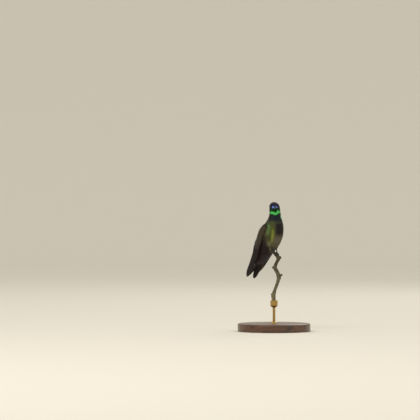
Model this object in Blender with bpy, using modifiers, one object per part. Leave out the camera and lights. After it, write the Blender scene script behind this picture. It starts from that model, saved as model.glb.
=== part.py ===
"""A perched male hummingbird of the genus Eugenes (Rivoli's or magnificent hummingbird), life size.

It is a still museum model: the bird sits on the cut tip of a twig, which a rod holds over a round base.
World frame: metres, +Z up, origin at the middle of the base's underside. The head faces -Y.

Everything below is in millimetres until it is made, when MM turns it into metres. The bird is modelled
in its own frame, at the point that its feet grip: "left" and "up" are what they say, and "forward" is
where its breast points. That frame is turned about the vertical, so that the breast points to the
bird's left of -Y, and the head turns back by the same angle to look along -Y.
"""
import math
from bisect import bisect_right

import bmesh
import bpy
import numpy as np
from mathutils import Matrix, Vector

MM = 0.001
GAP = 0.3  # between touching pieces
SEAM = 0.4  # the thin cuts that part the body

# Driving dimensions
BODY_TURN = 34.0  # degrees that the breast points away from -Y
HEAD_PITCH = 9.0  # degrees that the bill points up
BILL_LENGTH = 28.0
TAIL_LEAN = 46.0  # degrees between the tail and the vertical
TAIL_BASE = (-13.9, 2.5)  # forward, up
TAIL_THICKNESS = 1.1
EYE_RADIUS = 1.8
EYES_OUT, EYES_ASIDE = 4.25, -0.15  # of the head's middle, and how far both are moved to its right
EYES_AHEAD, EYES_UP = 3.6, 1.1  # of the head frame's middle

BASE_RADIUS, BASE_HEIGHT = 40.0, 9.0
ROD_RADIUS = 1.5
SOCKET_RADIUS, SOCKET_DEPTH, SOCKET_BOTTOM = 4.0, 5.0, 29.0
TWIG_END = -58.0  # the cut end's height, from the grip point
GRIP = (0.5, 0.0, SOCKET_BOTTOM + GAP - TWIG_END)  # the grip point in the world

# The whole body from the tips of the tail coverts to the crown, as sections across its spine. Columns:
# place along the spine, forward, up, pitch of the section's front edge, turn back to -Y, half width,
# depth to the front, depth to the back, roundness of the front (2 is an ellipse, less is more pointed).
BODY = (
    (0, -28.6, -11.6, -46, 0, 6.9, 1.9, 1.4, 2.4),  # tips of the tail coverts
    (1, -24.4, -7.6, -46, 0, 7.7, 3.2, 2.3, 2.2),
    (2, -19.6, -3.0, -46, 0, 8.3, 4.7, 3.7, 2.1),  # vent
    (3, -14.4, 2.2, -43, 0, 8.9, 6.9, 5.8, 2.0),  # rump
    (4, -10.6, 7.0, -36, 0, 9.9, 8.8, 7.8, 2.0),  # hips
    (5, -7.4, 12.6, -29, 0, 11.2, 10.9, 9.6, 2.0),  # belly
    (6, -4.8, 18.2, -23, 0, 11.8, 12.1, 10.8, 2.0),
    (7, -2.5, 24.0, -19, -1, 11.5, 12.2, 10.7, 2.0),  # breast
    (8, -0.8, 29.8, -13, -4, 10.6, 10.5, 9.7, 2.0),  # shoulders
    (9, 0.4, 34.8, -5, -11, 8.5, 8.4, 7.3, 2.0),  # neck
    (10, 1.0, 38.8, 2, -20, 7.0, 7.2, 6.7, 2.0),
    (11, 1.1, 42.2, 7, -29, 6.3, 7.0, 6.8, 1.9),  # throat
    (12, 0.7, 45.4, HEAD_PITCH, -BODY_TURN, 6.05, 8.6, 7.6, 1.55),  # the bill's line
    (13, 0.2, 48.4, HEAD_PITCH, -BODY_TURN, 5.95, 7.9, 7.9, 1.75),  # eyes
    (14, -0.2, 51.0, HEAD_PITCH, -BODY_TURN, 5.45, 6.4, 7.2, 1.95),  # brows
    (15, -0.5, 53.1, HEAD_PITCH, -BODY_TURN, 4.1, 4.4, 5.3, 2.0),
    (16, -0.7, 54.5, HEAD_PITCH, -BODY_TURN, 1.6, 1.8, 2.0, 2.0),  # crown
)
TAIL_CUT, BELLY_CUT, BREAST_CUT, NECK_CUT = 3.3, 6.5, 8.6, 10.7  # places where the body is cut
BILL_LINE, CROWN = 12, 16
HEAD_LIFT = 1.2  # of the head frame's middle over the bill's line

# The folded left wing, from the wrist (0) to the tip (1), as the edges of its two blades. The outer
# primary is the front edge, the primaries meet the secondaries at the fold, and the inner secondaries
# reach over the back. Columns: place along the wing, left, forward, up.
WING_FRONT = (
    (0.0, 10.9, 2.6, 27.0),
    (0.12, 12.4, -1.4, 18.9),
    (0.3, 13.0, -7.8, 8.4),
    (0.55, 12.0, -18.8, -5.2),
    (0.8, 10.1, -30.5, -18.8),
    (0.92, 9.3, -37.6, -24.2),
    (1.0, 8.5, -42.4, -27.0),
)
WING_FOLD = (
    (0.0, 10.5, 0.2, 30.0),
    (0.12, 12.8, -8.2, 23.6),
    (0.3, 12.9, -16.9, 13.8),
    (0.55, 11.2, -25.6, -0.2),
    (0.8, 9.5, -36.7, -15.0),
    (0.92, 8.9, -41.2, -20.8),
    (1.0, 8.4, -43.5, -25.4),
)
WING_BACK = (
    (0.0, 9.4, -2.4, 32.0),
    (0.12, 8.6, -12.2, 27.0),
    (0.3, 6.0, -20.8, 16.4),
    (0.45, 5.6, -24.6, 8.0),
    (0.56, 7.6, -26.8, 1.2),
)
# The two wings aren't held quite alike. Columns: place along the wing, and the move out, forward and up.
WING_MOVES = {
    "left": (
        (0.0, 0.0, -0.9, -0.4),
        (0.12, 0.0, -0.4, 0.0),
        (0.3, 0.0, 0.0, 0.0),
        (0.55, -1.2, -3.3, 0.0),
        (0.8, -1.5, -3.7, 0.0),
        (0.92, -0.9, -4.4, 0.0),
        (1.0, -0.3, -4.0, 0.0),
    ),
    "right": (
        (0.0, 0.8, -0.6, 0.0),
        (0.12, 0.6, -0.6, 0.0),
        (0.3, 0.2, 0.0, 0.0),
        (0.55, 0.0, 0.0, 0.0),
        (1.0, 0.0, 0.0, 0.0),
    ),
}
BLADE_EDGE = 0.62  # thickness at the edges
WING_THICKNESS = ((0.0, 2.2), (0.12, 2.6), (0.3, 2.0), (0.55, 1.3), (1.0, 0.7))
COVERTS_END = 0.34  # along the wing: the coverts hide the roots of the flight feathers up to here
SECONDARIES_END = 0.56
FLIGHT_START = COVERTS_END + 0.006
# How far each blade is arched outwards, where it starts and where it ends
ARM_BULGE, SECONDARIES_BULGE, PRIMARIES_BULGE = (2.6, 4.4), (1.6, 0.6), (0.9, 0.1)
WRIST_DOME = ((0.45, 1.4), (0.8, 0.9))  # size and reach of the two rings that round the wrist off
FOLD_SEAM = 0.9  # between the secondaries and the primaries

# The twig from its tip to its cut end, in the world from the grip point: x, y, z, radius.
TWIG = (
    (-5.9, -3.7, 3.7, 1.3),
    (-5.2, -3.4, 3.1, 1.55),
    (-2.6, -2.6, 1.0, 1.65),
    (1.0, -1.4, -2.2, 1.8),
    (4.3, 0.6, -6.4, 2.3),
    (2.4, 1.4, -11.6, 1.75),
    (0.6, 0.9, -17.4, 2.3),
    (3.2, 0.0, -22.4, 2.1),
    (4.8, -0.6, -27.2, 2.5),
    (3.8, -0.5, -32.4, 1.9),
    (2.0, 0.1, -37.6, 1.75),
    (0.1, 0.5, -43.0, 1.9),
    (-1.1, 0.5, -47.6, 2.45),
    (-0.8, 0.2, -53.0, 2.25),
    (-0.5, 0.0, TWIG_END, 2.2),
)
# Leaf scars and stubs on the twig: x, y, z of the root, x, y, z of the end, root and end radius.
STUBS = (
    ((4.4, 0.8, -6.6), (7.4, 0.4, -5.8), 2.0, 1.5),
    ((0.8, 0.9, -17.2), (-2.8, 0.2, -17.0), 1.9, 0.9),
    ((5.0, -0.6, -27.0), (8.7, -1.2, -24.6), 2.0, 1.0),
    ((-1.2, 0.5, -47.4), (-3.9, 0.0, -46.2), 1.5, 0.8),
)

# Legs. Each grips the twig at its own height from the grip point, and leaves the belly at a hip, which
# is left, forward, up. The toes' arcs are in degrees round the twig from the side that faces the bird.
GRIP_HEIGHTS = {"left": -2.9, "right": 1.2}
HIPS_AT = {"left": (4.4, -4.0, 7.2), "right": (-4.6, -4.4, 7.2)}
TOE_RADIUS, CLAW_RADIUS = 0.5, 0.26
LEG_RADII = (0.7, 0.58, 0.58, 0.72, 1.5, 2.1, 2.1)  # from the toes to inside the thigh's feathers
TOE_PITCH = 1.3  # between the middles of two toes
TOE_FAN = 0.7  # how far an outer toe's tip lies beyond its root
LEG_SHARES = (0.0, 0.12, 0.3, 0.42, 0.56, 0.75, 1.0)  # of the way from the sole to the hip
SOLE_RISE = 0.25  # of the sole over the middles of the toes
FOOT_LEAN, FOOT_LIFT = 0.35, 6.0  # how much the foot's way up leans to the hip, and how much it is upright
CLAW_START, CLAW_ARCH = 0.7, 0.25  # share of the toe where its claw starts, and the claw's rise
PAD = (0.78, 0.74, 0.55)  # the sole's half thicknesses, and its reach past the outer toes' middles
FRONT_ARC, HIND_ARC = (0.0, 150.0), (0.0, -118.0)

COLOURS = {  # colour, roughness, metallic
    "crown": ((0.05, 0.06, 0.20), 0.4, 0.5),
    "gorget": ((0.03, 0.42, 0.08), 0.35, 0.6),
    "breast": ((0.10, 0.12, 0.03), 0.5, 0.3),
    "rump": ((0.11, 0.10, 0.06), 0.6, 0.1),
    "coverts": ((0.09, 0.08, 0.045), 0.5, 0.3),
    "flight": ((0.05, 0.035, 0.035), 0.5, 0.1),
    "tail": ((0.03, 0.02, 0.024), 0.45, 0.2),
    "horn": ((0.012, 0.011, 0.011), 0.3, 0.0),
    "eye": ((0.01, 0.007, 0.005), 0.05, 0.0),
    "bark": ((0.14, 0.10, 0.055), 0.85, 0.0),
    "brass": ((0.55, 0.40, 0.18), 0.3, 1.0),
    "wood": ((0.10, 0.05, 0.025), 0.4, 0.0),
}


def clear_scene():
    for obj in list(bpy.data.objects):
        bpy.data.objects.remove(obj)


def collection(name, hidden=False):
    made = bpy.data.collections.new(name)
    made.hide_render = hidden
    bpy.context.scene.collection.children.link(made)
    return made


def material(name):
    """The named material, made the first time it is asked for."""
    found = bpy.data.materials.get(name)
    if found:
        return found
    colour, roughness, metallic = COLOURS[name]
    made = bpy.data.materials.new(name)
    made.use_nodes = True
    shader = made.node_tree.nodes["Principled BSDF"]
    shader.inputs["Base Color"].default_value = (*colour, 1)
    shader.inputs["Roughness"].default_value = roughness
    shader.inputs["Metallic"].default_value = metallic
    return made


def in_metres(points):
    return [Vector(p) * MM for p in points]


def add_piece(obj, finish, parent=None):
    """Puts a piece in the bird's collection, under its parent, with its material."""
    for holder in list(obj.users_collection):
        holder.objects.unlink(obj)
    PARTS.objects.link(obj)
    obj.parent = parent
    obj.data.materials.clear()
    obj.data.materials.append(material(finish))
    return obj


def add_cutter(obj, parent=None):
    for holder in list(obj.users_collection):
        holder.objects.unlink(obj)
    CUTTERS.objects.link(obj)
    obj.parent = parent
    obj.hide_render = True
    obj.display_type = "WIRE"
    return obj


def boolean(obj, other, operation="DIFFERENCE"):
    """The modifier runs in place, so that the other object can be a cutter or be thrown away."""
    modifier = obj.modifiers.new(operation.lower(), "BOOLEAN")
    modifier.operation = operation
    modifier.object = other
    return modifier


def through(rows, x):
    """The rest of the row at x, on the smooth curve through rows, whose first column is x itself."""
    rows = np.asarray(rows, float)
    xs, values = rows[:, 0], rows[:, 1:]
    slopes = np.gradient(values, xs, axis=0)
    k = min(max(bisect_right(list(xs), x) - 1, 0), len(xs) - 2)
    h = xs[k + 1] - xs[k]
    t = (x - xs[k]) / h
    return (
        (2 * t**3 - 3 * t**2 + 1) * values[k]
        + (t**3 - 2 * t**2 + t) * h * slopes[k]
        + (3 * t**2 - 2 * t**3) * values[k + 1]
        + (t**3 - t**2) * h * slopes[k + 1]
    )


def own(left, forward, up):
    """A point of the bird's frame as x, y, z: the bird faces -Y in it."""
    return Vector((left, -forward, up))


def loft(name, rings):
    """A closed mesh through rings of as many points each, given in millimetres."""
    mesh = bpy.data.meshes.new(name)
    bm = bmesh.new()
    made = [[bm.verts.new(p) for p in in_metres(ring)] for ring in rings]
    count = len(made[0])
    for low, high in zip(made, made[1:]):
        for i in range(count):
            j = (i + 1) % count
            bm.faces.new((low[i], low[j], high[j], high[i]))
    bm.faces.new(reversed(made[0]))
    bm.faces.new(made[-1])
    bmesh.ops.recalc_face_normals(bm, faces=bm.faces)
    bm.to_mesh(mesh)
    bm.free()
    mesh.shade_smooth()
    mesh.set_sharp_from_angle(angle=math.radians(50))
    obj = bpy.data.objects.new(name, mesh)
    bpy.context.scene.collection.objects.link(obj)
    return obj


def tube(name, points, radii, bevel_resolution=2):
    """A round curve object through points, in millimetres, with a radius at each."""
    data = bpy.data.curves.new(name, "CURVE")
    data.dimensions = "3D"
    data.bevel_depth = MM
    data.bevel_resolution = bevel_resolution
    data.use_fill_caps = True
    spline = data.splines.new("POLY")
    spline.points.add(len(points) - 1)
    for knot, place, radius in zip(spline.points, in_metres(points), radii):
        knot.co = (*place, 1)
        knot.radius = radius
    obj = bpy.data.objects.new(name, data)
    bpy.context.scene.collection.objects.link(obj)
    return obj


def as_mesh(curve):
    """The curve as a mesh object of the same name, with its caps welded."""
    bpy.context.view_layer.update()
    evaluated = curve.evaluated_get(bpy.context.evaluated_depsgraph_get())
    mesh = bpy.data.meshes.new_from_object(evaluated)
    bm = bmesh.new()
    bm.from_mesh(mesh)
    bmesh.ops.remove_doubles(bm, verts=bm.verts, dist=1e-6)
    bmesh.ops.recalc_face_normals(bm, faces=bm.faces)
    bm.to_mesh(mesh)
    bm.free()
    name, world = curve.name, curve.matrix_world.copy()
    bpy.data.objects.remove(curve)
    obj = bpy.data.objects.new(name, mesh)
    obj.matrix_world = world
    bpy.context.scene.collection.objects.link(obj)
    return obj


# ---------------------------------------------------------------- the body


def body_ring(place, grow=0.0, around=28):
    """The section of the body at a place along its spine, made larger all round by grow."""
    forward, up, pitch, turn, width, front, back, roundness = through(BODY, place)
    pitch, turn = math.radians(pitch), math.radians(turn)
    ahead = Vector((math.sin(turn) * math.cos(pitch), -math.cos(turn) * math.cos(pitch), math.sin(pitch)))
    left = Vector((math.cos(turn), math.sin(turn), 0))
    ring = []
    for i in range(around):
        angle = 2 * math.pi * i / around
        c, s = math.cos(angle), math.sin(angle)
        power = 2 / roundness if s > 0 else 1
        across = math.copysign(abs(c) ** power, c) * (width + grow)
        depth = s**power * (front + grow) if s > 0 else s * (back + grow)
        ring.append(own(0, forward, up) + left * across + ahead * depth)
    return ring


def half_seam(place):
    """Half a seam, as a share of the way from one place to the next."""
    before, after = (through(BODY, place + step)[:2] for step in (-0.5, 0.5))
    return SEAM / 2 / float(np.linalg.norm(after - before))


def body_length(name, start, end, grow=0.0, per_station=2):
    """The body between two places along its spine, less half a seam at each end inside the body."""
    step = 1 / per_station
    low = start + (half_seam(start) if start > 0 and not grow else 0)
    high = end - (half_seam(end) if end < CROWN and not grow else 0)
    inner = [k * step for k in range(1, CROWN * per_station) if low + step / 3 < k * step < high - step / 3]
    return loft(name, [body_ring(place, grow) for place in (low, *inner, high)])


def eye_centre(side):
    """side is 1 for the bird's left and -1 for its right. In the head's frame, which faces -Y."""
    return Vector((side * EYES_OUT + EYES_ASIDE, -EYES_AHEAD, EYES_UP))


def make_body(bird, head_frame):
    """Head, neck, trunk and rump, with sockets for the eyes and the bill."""
    head = add_piece(body_length("head", NECK_CUT, CROWN, per_station=3), "crown", bird)
    add_piece(body_length("neck", BREAST_CUT, NECK_CUT), "gorget", bird)
    add_piece(body_length("breast", BELLY_CUT, BREAST_CUT), "breast", bird)
    add_piece(body_length("belly", TAIL_CUT, BELLY_CUT), "rump", bird)
    add_piece(body_length("tail_coverts", 0, TAIL_CUT), "coverts", bird)
    for side, word in ((1, "left"), (-1, "right")):
        socket = sphere(f"socket_{word}", EYE_RADIUS + GAP, 16, 10)
        socket.location = eye_centre(side) * MM
        boolean(head, add_cutter(socket, head_frame))
    hole = [bill_section(x, 0, 1, GAP) + bill_section(x, 0, -1, GAP) for x in BILL_HOLE]
    bill_hole = loft("bill_hole", hole)
    boolean(head, add_cutter(bill_hole, head_frame))


def sphere(name, radius, segments, rings):
    bpy.ops.mesh.primitive_uv_sphere_add(segments=segments, ring_count=rings, radius=radius * MM)
    obj = bpy.context.object
    obj.name = obj.data.name = name
    obj.data.shade_smooth()
    return obj


def make_eyes(head_frame):
    for side, word in ((1, "left"), (-1, "right")):
        eye = add_piece(sphere(f"eye_{word}", EYE_RADIUS, 16, 10), "eye", head_frame)
        eye.location = eye_centre(side) * MM


# ---------------------------------------------------------------- the bill

BILL_ROOT = -7.6  # y in the head's frame where the bill leaves its hole in the face
BILL_DROP = 0.9  # how far the bill's line is under the head frame's middle
BILL_HOLE = (-1.0, 6.0)  # where its hole in the face starts and ends, from the bill's root
BILL_HALF_WIDTHS = (1.45, 0.45)  # at the root and at the tip
UPPER_HEIGHTS, LOWER_HEIGHTS = (1.5, 0.55), (1.15, 0.45)
BILL_DROOP = 0.5  # of the tip
BILL_TAPER = 0.7  # less than 1 thins it early
OVERBITE = 0.8  # how far the upper mandible's tip reaches past the lower one's
TIP_SCALE, TIP_STEP = 0.55, 0.5  # the last ring of a mandible's rounded tip


def bill_section(along, split, side, grow=0.0, points=9):
    """Half a section of the bill: side is 1 for the upper mandible and -1 for the lower one."""
    share = max(along, 0) / BILL_LENGTH
    thin = share**BILL_TAPER
    heights = UPPER_HEIGHTS if side > 0 else LOWER_HEIGHTS
    half_width = BILL_HALF_WIDTHS[0] + (BILL_HALF_WIDTHS[1] - BILL_HALF_WIDTHS[0]) * thin
    height = heights[0] + (heights[1] - heights[0]) * thin
    droop = -BILL_DROOP * share**2
    ring = []
    for i in range(points):
        angle = math.pi * i / (points - 1)
        x = math.cos(angle) * (half_width + grow) * side
        z = math.sin(angle) * (height + grow) * side
        ring.append(Vector((x, BILL_ROOT - along, split + z + droop - BILL_DROP)))
    return ring[:-1] if split == 0 else ring


def make_bill(head_frame):
    steps = 9
    for side, word, length in ((1, "upper", BILL_LENGTH), (-1, "lower", BILL_LENGTH - OVERBITE)):
        split = side * GAP / 2
        places = [length * (i / steps) ** 0.9 for i in range(steps)] + [length - TIP_STEP]
        rings = [bill_section(x, split, side) for x in places]
        middle = sum(rings[-1], Vector()) / len(rings[-1])
        rings.append([middle.lerp(p, TIP_SCALE) - Vector((0, TIP_STEP, 0)) for p in rings[-1]])
        add_piece(loft(f"bill_{word}", rings), "horn", head_frame)


# ---------------------------------------------------------------- the wings


def wing_section(place, first, second, bulge, points=7):
    """A closed section of a blade between two edges, arched outwards, in the left wing."""
    edges = [own(*through(rows, place)) for rows in (first, second)]
    ahead = [own(*through(rows, place + 0.01)) for rows in (first, second)]
    run = (ahead[0] + ahead[1] - edges[0] - edges[1]).normalized()
    chord = edges[1] - edges[0]
    out = chord.cross(run).normalized()
    if out.x < 0:
        out = -out
    thickness = float(through(WING_THICKNESS, place)[0])
    outer, inner = [], []
    for i in range(points):
        q = i / (points - 1)
        arch = edges[0] + chord * q + out * bulge * 4 * q * (1 - q)
        depth = BLADE_EDGE + (thickness - BLADE_EDGE) * math.sqrt(max(0.0, 1 - (2 * q - 1) ** 4))
        outer.append(arch)
        inner.append(arch - out * depth)
    return outer + inner[::-1]


def wing_blade(name, first, second, bulge, start, end, side, steps):
    """A blade of the wing between two places. bulge gives its arch at each end."""
    rings = []
    for i in range(steps + 1):
        share = i / steps
        place = start + (end - start) * share
        arch = bulge[0] + (bulge[1] - bulge[0]) * share
        rings.append(wing_section(place, first, second, arch))
    middles = [sum(ring, Vector()) / len(ring) for ring in rings]
    if end == 1:
        rings[-1] = [middles[-1].lerp(p, 0.85) for p in rings[-1]]
    if start == 0:
        out = (middles[0] - middles[1]).normalized()
        dome = [[middles[0].lerp(p, scale) + out * lift for p in rings[0]] for scale, lift in WRIST_DOME]
        rings = dome + rings
    if side < 0:
        rings = [[Vector((-p.x, p.y, p.z)) for p in ring] for ring in rings]
    return loft(name, rings)


def fold_gap(rows, toward, share):
    """The edge given by rows, moved a little towards another edge."""
    moved = []
    for row in rows:
        here = np.array(row[1:])
        there = through(toward, row[0])
        away = there - here
        moved.append((row[0], *(here + away / np.linalg.norm(away) * share)))
    return moved


def moved(rows, moves):
    """The rows of an edge, each moved by what moves gives at its place."""
    return [(row[0], *(np.array(row[1:]) + through(moves, row[0]))) for row in rows]


def make_wings(bird, trunk):
    """Each wing is its covered arm, the secondaries over the back, and the primaries beside the tail."""
    for side, word in ((1, "left"), (-1, "right")):
        front, fold, back = (moved(rows, WING_MOVES[word]) for rows in (WING_FRONT, WING_FOLD, WING_BACK))
        fold_in = fold_gap(fold[:4], back, FOLD_SEAM)
        arm = wing_blade(f"wing_{word}_arm", front, back, ARM_BULGE, 0, COVERTS_END, side, 9)
        secondaries = wing_blade(
            f"wing_{word}_secondaries", fold_in, back, SECONDARIES_BULGE,
            FLIGHT_START, SECONDARIES_END, side, 6,
        )
        primaries = wing_blade(
            f"wing_{word}_primaries", front, fold, PRIMARIES_BULGE, FLIGHT_START, 1, side, 14
        )
        for piece, finish in ((arm, "coverts"), (secondaries, "flight"), (primaries, "flight")):
            add_piece(piece, finish, bird)
            boolean(piece, trunk)


# ---------------------------------------------------------------- the tail

# The left half's outline, on the tail's own plane: along the tail, and out from its middle.
TAIL_OUTLINE = (
    (0.0, 0.28), (0.0, 6.2), (8.0, 6.7), (15.0, 6.8), (19.6, 6.8), (22.6, 6.3), (23.8, 5.0),
    (23.5, 4.2), (22.0, 3.2), (19.6, 2.2), (17.2, 1.3), (15.8, 0.28),
)
SHOWN_LENGTH = 23.8  # of the tail past its coverts
COVERTS_LENGTH = 20.4  # of the tail, hidden by its coverts
TAIL_ROOF = 7.0  # degrees that each half slopes down from the middle
TAIL_TWIST = 16.5  # degrees that the tail's end is rolled, its right side up
TAIL_ASIDE = {"left": 1.1, "right": 0.8}  # how far the end of each half lies to the bird's right


def twist_tail(mesh, aside):
    """Rolls the tail's end, and moves it aside, by how far along the tail a point is."""
    for vertex in mesh.vertices:
        share = vertex.co.y / (SHOWN_LENGTH * MM)
        vertex.co.z -= vertex.co.x * math.tan(math.radians(TAIL_TWIST)) * share
        vertex.co.x -= aside * MM * share**2


def make_tail(bird):
    lean = math.radians(TAIL_LEAN)
    along = own(0, -math.sin(lean), -math.cos(lean))
    start = own(0, *TAIL_BASE) + along * (COVERTS_LENGTH + GAP)
    for side, word in ((1, "left"), (-1, "right")):
        data = bpy.data.curves.new(f"tail_{word}", "CURVE")
        data.dimensions = "2D"
        data.fill_mode = "BOTH"
        data.extrude = TAIL_THICKNESS / 2 * MM
        outline = data.splines.new("POLY")
        outline.points.add(len(TAIL_OUTLINE) - 1)
        for knot, (run, out) in zip(outline.points, TAIL_OUTLINE):
            knot.co = (side * out * MM, run * MM, 0, 1)
        outline.use_cyclic_u = True
        half = add_piece(as_mesh(link(bpy.data.objects.new(f"tail_{word}", data))), "tail", bird)
        twist_tail(half.data, TAIL_ASIDE[word])
        across = Vector((1, 0, 0))
        turned = Matrix.Rotation(math.radians(side * TAIL_ROOF), 3, along)
        axes = Matrix((turned @ across, along, turned @ across.cross(along))).transposed()
        half.matrix_local = Matrix.Translation(start * MM) @ axes.to_4x4()


def link(obj):
    bpy.context.scene.collection.objects.link(obj)
    return obj


# ---------------------------------------------------------------- twig, legs and feet


def twig_point(height):
    """A point of the twig's middle line and its radius, at a height from the grip point."""
    rows = sorted((z, x, y, z, r) for x, y, z, r in TWIG)
    x, y, z, radius = through(rows, height)
    return Vector((x, y, z)), radius


def make_twig():
    """The twig with its stubs joined on, in one piece."""
    heights = [row[2] for row in TWIG]
    places = []
    for high, low in zip(heights, heights[1:]):
        parts = 1 if high - low < 1 else 2
        places += [high + (low - high) * i / parts for i in range(parts)]
    rows = [twig_point(z) for z in (*places, TWIG_END)]
    twig = as_mesh(tube("perch", [p for p, _ in rows], [r for _, r in rows], 3))
    twig.location = Vector(GRIP) * MM
    for i, (root, end, thick, thin) in enumerate(STUBS):
        root, end = Vector(root), Vector(end)
        shares = (0.0, 0.3, 0.6, 0.85, 1.0)
        radii = [thick + (thin - thick) * t * (2 - t) for t in shares[:-1]] + [thin * 0.7]
        stub = as_mesh(tube(f"stub_{i}", [root.lerp(end, t) for t in shares], radii, 3))
        stub.location = Vector(GRIP) * MM
        boolean(twig, add_cutter(stub), "UNION")
    add_piece(twig, "bark")


def foot_frame(height, hip):
    """The twig's middle where a foot grips it, its direction there, and the way to the bird from it."""
    centre, radius = twig_point(height)
    along = (twig_point(height - 1)[0] - twig_point(height + 1)[0]).normalized()
    toward = (hip - centre) * FOOT_LEAN + Vector((0, 0, FOOT_LIFT))
    up = (toward - along * along.dot(toward)).normalized()
    return centre, radius, along, up


def toe(name, centre, along, up, arc, ring, offset, fan):
    """A toe bent round the twig, thinning at its end into the claw."""
    front = along.cross(up).normalized()
    if front.y > 0:
        front = -front
    points, radii = [], []
    steps = 9
    for i in range(steps + 1):
        share = i / steps
        angle = math.radians(arc[0] + (arc[1] - arc[0]) * share)
        claw = max(0.0, (share - CLAW_START) / (1 - CLAW_START))
        reach = ring + CLAW_ARCH * math.sin(math.pi * claw)
        point = centre + (up * math.cos(angle) + front * math.sin(angle)) * reach
        points.append(point + along * (offset + fan * share))
        radii.append(TOE_RADIUS + (CLAW_RADIUS - TOE_RADIUS) * claw**0.8)
    return as_mesh(tube(name, points, radii, 1))


def make_leg(word, bird, belly):
    """One leg: its thigh in a hollow of the belly, the tarsus, three toes in front and one behind."""
    turn_back = Matrix.Rotation(math.radians(BODY_TURN), 3, "Z")
    hip = turn_back @ own(*HIPS_AT[word])
    centre, radius, along, up = foot_frame(GRIP_HEIGHTS[word], hip)
    ring = radius + GAP + TOE_RADIUS
    sole = centre + up * (ring + SOLE_RISE)
    points = [sole.lerp(hip, share) for share in LEG_SHARES]
    leg = as_mesh(tube(f"leg_{word}", points, LEG_RADII, 2))
    leg.location = Vector(GRIP) * MM
    pad = sphere(f"pad_{word}", 1.0, 12, 8)
    pad.scale = (PAD[0], PAD[1], TOE_PITCH + PAD[2])
    pad.rotation_mode = "QUATERNION"
    pad.rotation_quaternion = along.to_track_quat("Z", "Y")
    pad.location = (Vector(GRIP) + sole) * MM
    boolean(leg, add_cutter(pad), "UNION")
    for k, name in enumerate(("inner", "middle", "outer")):
        offset = (k - 1) * TOE_PITCH
        digit = toe(f"toe_{word}_{name}", centre, along, up, FRONT_ARC, ring, offset, (k - 1) * TOE_FAN)
        digit.location = Vector(GRIP) * MM
        boolean(leg, add_cutter(digit), "UNION")
    digit = toe(f"toe_{word}_hind", centre, along, up, HIND_ARC, ring, 0.0, 0.0)
    digit.location = Vector(GRIP) * MM
    boolean(leg, add_cutter(digit), "UNION")
    add_piece(leg, "horn")
    pocket = as_mesh(tube(f"leg_room_{word}", points + [hip + (hip - sole).normalized() * GAP],
                          [r + GAP for r in (*LEG_RADII, LEG_RADII[-1])], 2))
    pocket.location = Vector(GRIP) * MM
    boolean(belly, add_cutter(pocket))


# ---------------------------------------------------------------- the stand


def turned(name, profile, steps):
    """A turned piece: the profile runs from the axis, out and back, as (radius, height)."""
    mesh = bpy.data.meshes.new(name)
    bm = bmesh.new()
    verts = [bm.verts.new(Vector((r, 0, z)) * MM) for r, z in profile]
    for a, b in zip(verts, verts[1:]):
        bm.edges.new((a, b))
    bm.to_mesh(mesh)
    bm.free()
    obj = link(bpy.data.objects.new(name, mesh))
    screw = obj.modifiers.new("turn", "SCREW")
    screw.steps = screw.render_steps = steps
    screw.use_merge_vertices = True
    screw.merge_threshold = 0.00001
    return obj


def make_stand():
    """A round wooden base with a rod in its middle, and a cup on the rod for the twig's cut end."""
    hole = ROD_RADIUS + GAP
    bore_depth = 6.0
    edge = 1.4
    base_profile = [(0, BASE_HEIGHT - bore_depth), (hole, BASE_HEIGHT - bore_depth), (hole, BASE_HEIGHT)]
    top_edge, bottom_edge = BASE_RADIUS - 2 * edge, BASE_RADIUS - 0.5
    for i in range(5):
        angle = math.radians(90 - 22.5 * i)
        base_profile.append(
            (top_edge + 2 * edge * math.cos(angle), BASE_HEIGHT - edge + edge * math.sin(angle))
        )
    base_profile += [(BASE_RADIUS, 1.0), (bottom_edge, 0.0), (0, 0)]
    add_piece(turned("stand_base", base_profile, 44), "wood")
    collar_low, collar_high = BASE_HEIGHT + GAP, BASE_HEIGHT + GAP + 1.6
    rod_profile = [
        (0, SOCKET_BOTTOM), (SOCKET_RADIUS - 1.0, SOCKET_BOTTOM),
        (SOCKET_RADIUS - 1.0, SOCKET_BOTTOM + SOCKET_DEPTH), (SOCKET_RADIUS, SOCKET_BOTTOM + SOCKET_DEPTH),
        (SOCKET_RADIUS, SOCKET_BOTTOM - 0.8), (SOCKET_RADIUS - 0.9, SOCKET_BOTTOM - 1.9),
        (ROD_RADIUS, SOCKET_BOTTOM - 2.6), (ROD_RADIUS, collar_high), (ROD_RADIUS + 1.6, collar_high - 0.4),
        (ROD_RADIUS + 2.4, collar_low), (ROD_RADIUS, collar_low),
        (ROD_RADIUS, BASE_HEIGHT - bore_depth + GAP), (0, BASE_HEIGHT - bore_depth + GAP),
    ]
    add_piece(turned("stand_rod", rod_profile, 24), "brass")


def main():
    bird = link(bpy.data.objects.new("bird", None))
    bird.location = Vector(GRIP) * MM
    bird.rotation_euler = (0, 0, math.radians(BODY_TURN))
    head_frame = link(bpy.data.objects.new("head_frame", None))
    head_frame.parent = bird
    forward, up = through(BODY, BILL_LINE)[:2]
    head_frame.location = own(0, forward, up + HEAD_LIFT) * MM
    head_frame.rotation_euler = (-math.radians(HEAD_PITCH), 0, -math.radians(BODY_TURN))
    make_body(bird, head_frame)
    make_eyes(head_frame)
    make_bill(head_frame)
    TRUNK_ROOM.parent = bird
    make_wings(bird, TRUNK_ROOM)
    make_tail(bird)
    make_twig()
    for word in ("left", "right"):
        make_leg(word, bird, bpy.data.objects["belly"])
    make_stand()


clear_scene()
PARTS = collection("hummingbird")
CUTTERS = collection("cutters", hidden=True)
TRUNK_ROOM = add_cutter(body_length("trunk_room", 0, BILL_LINE, grow=GAP))
main()
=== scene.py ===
"""Looks for the perched hummingbird: one skin with its feathers, and finer eyes, bill, legs, twig, stand.

Lengths are in millimetres until a mesh is made. The bird's own frame is at the point that its feet grip,
with x to its left, y behind it and z up. world() turns it about the vertical by BODY_TURN.
"""
import math

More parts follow.
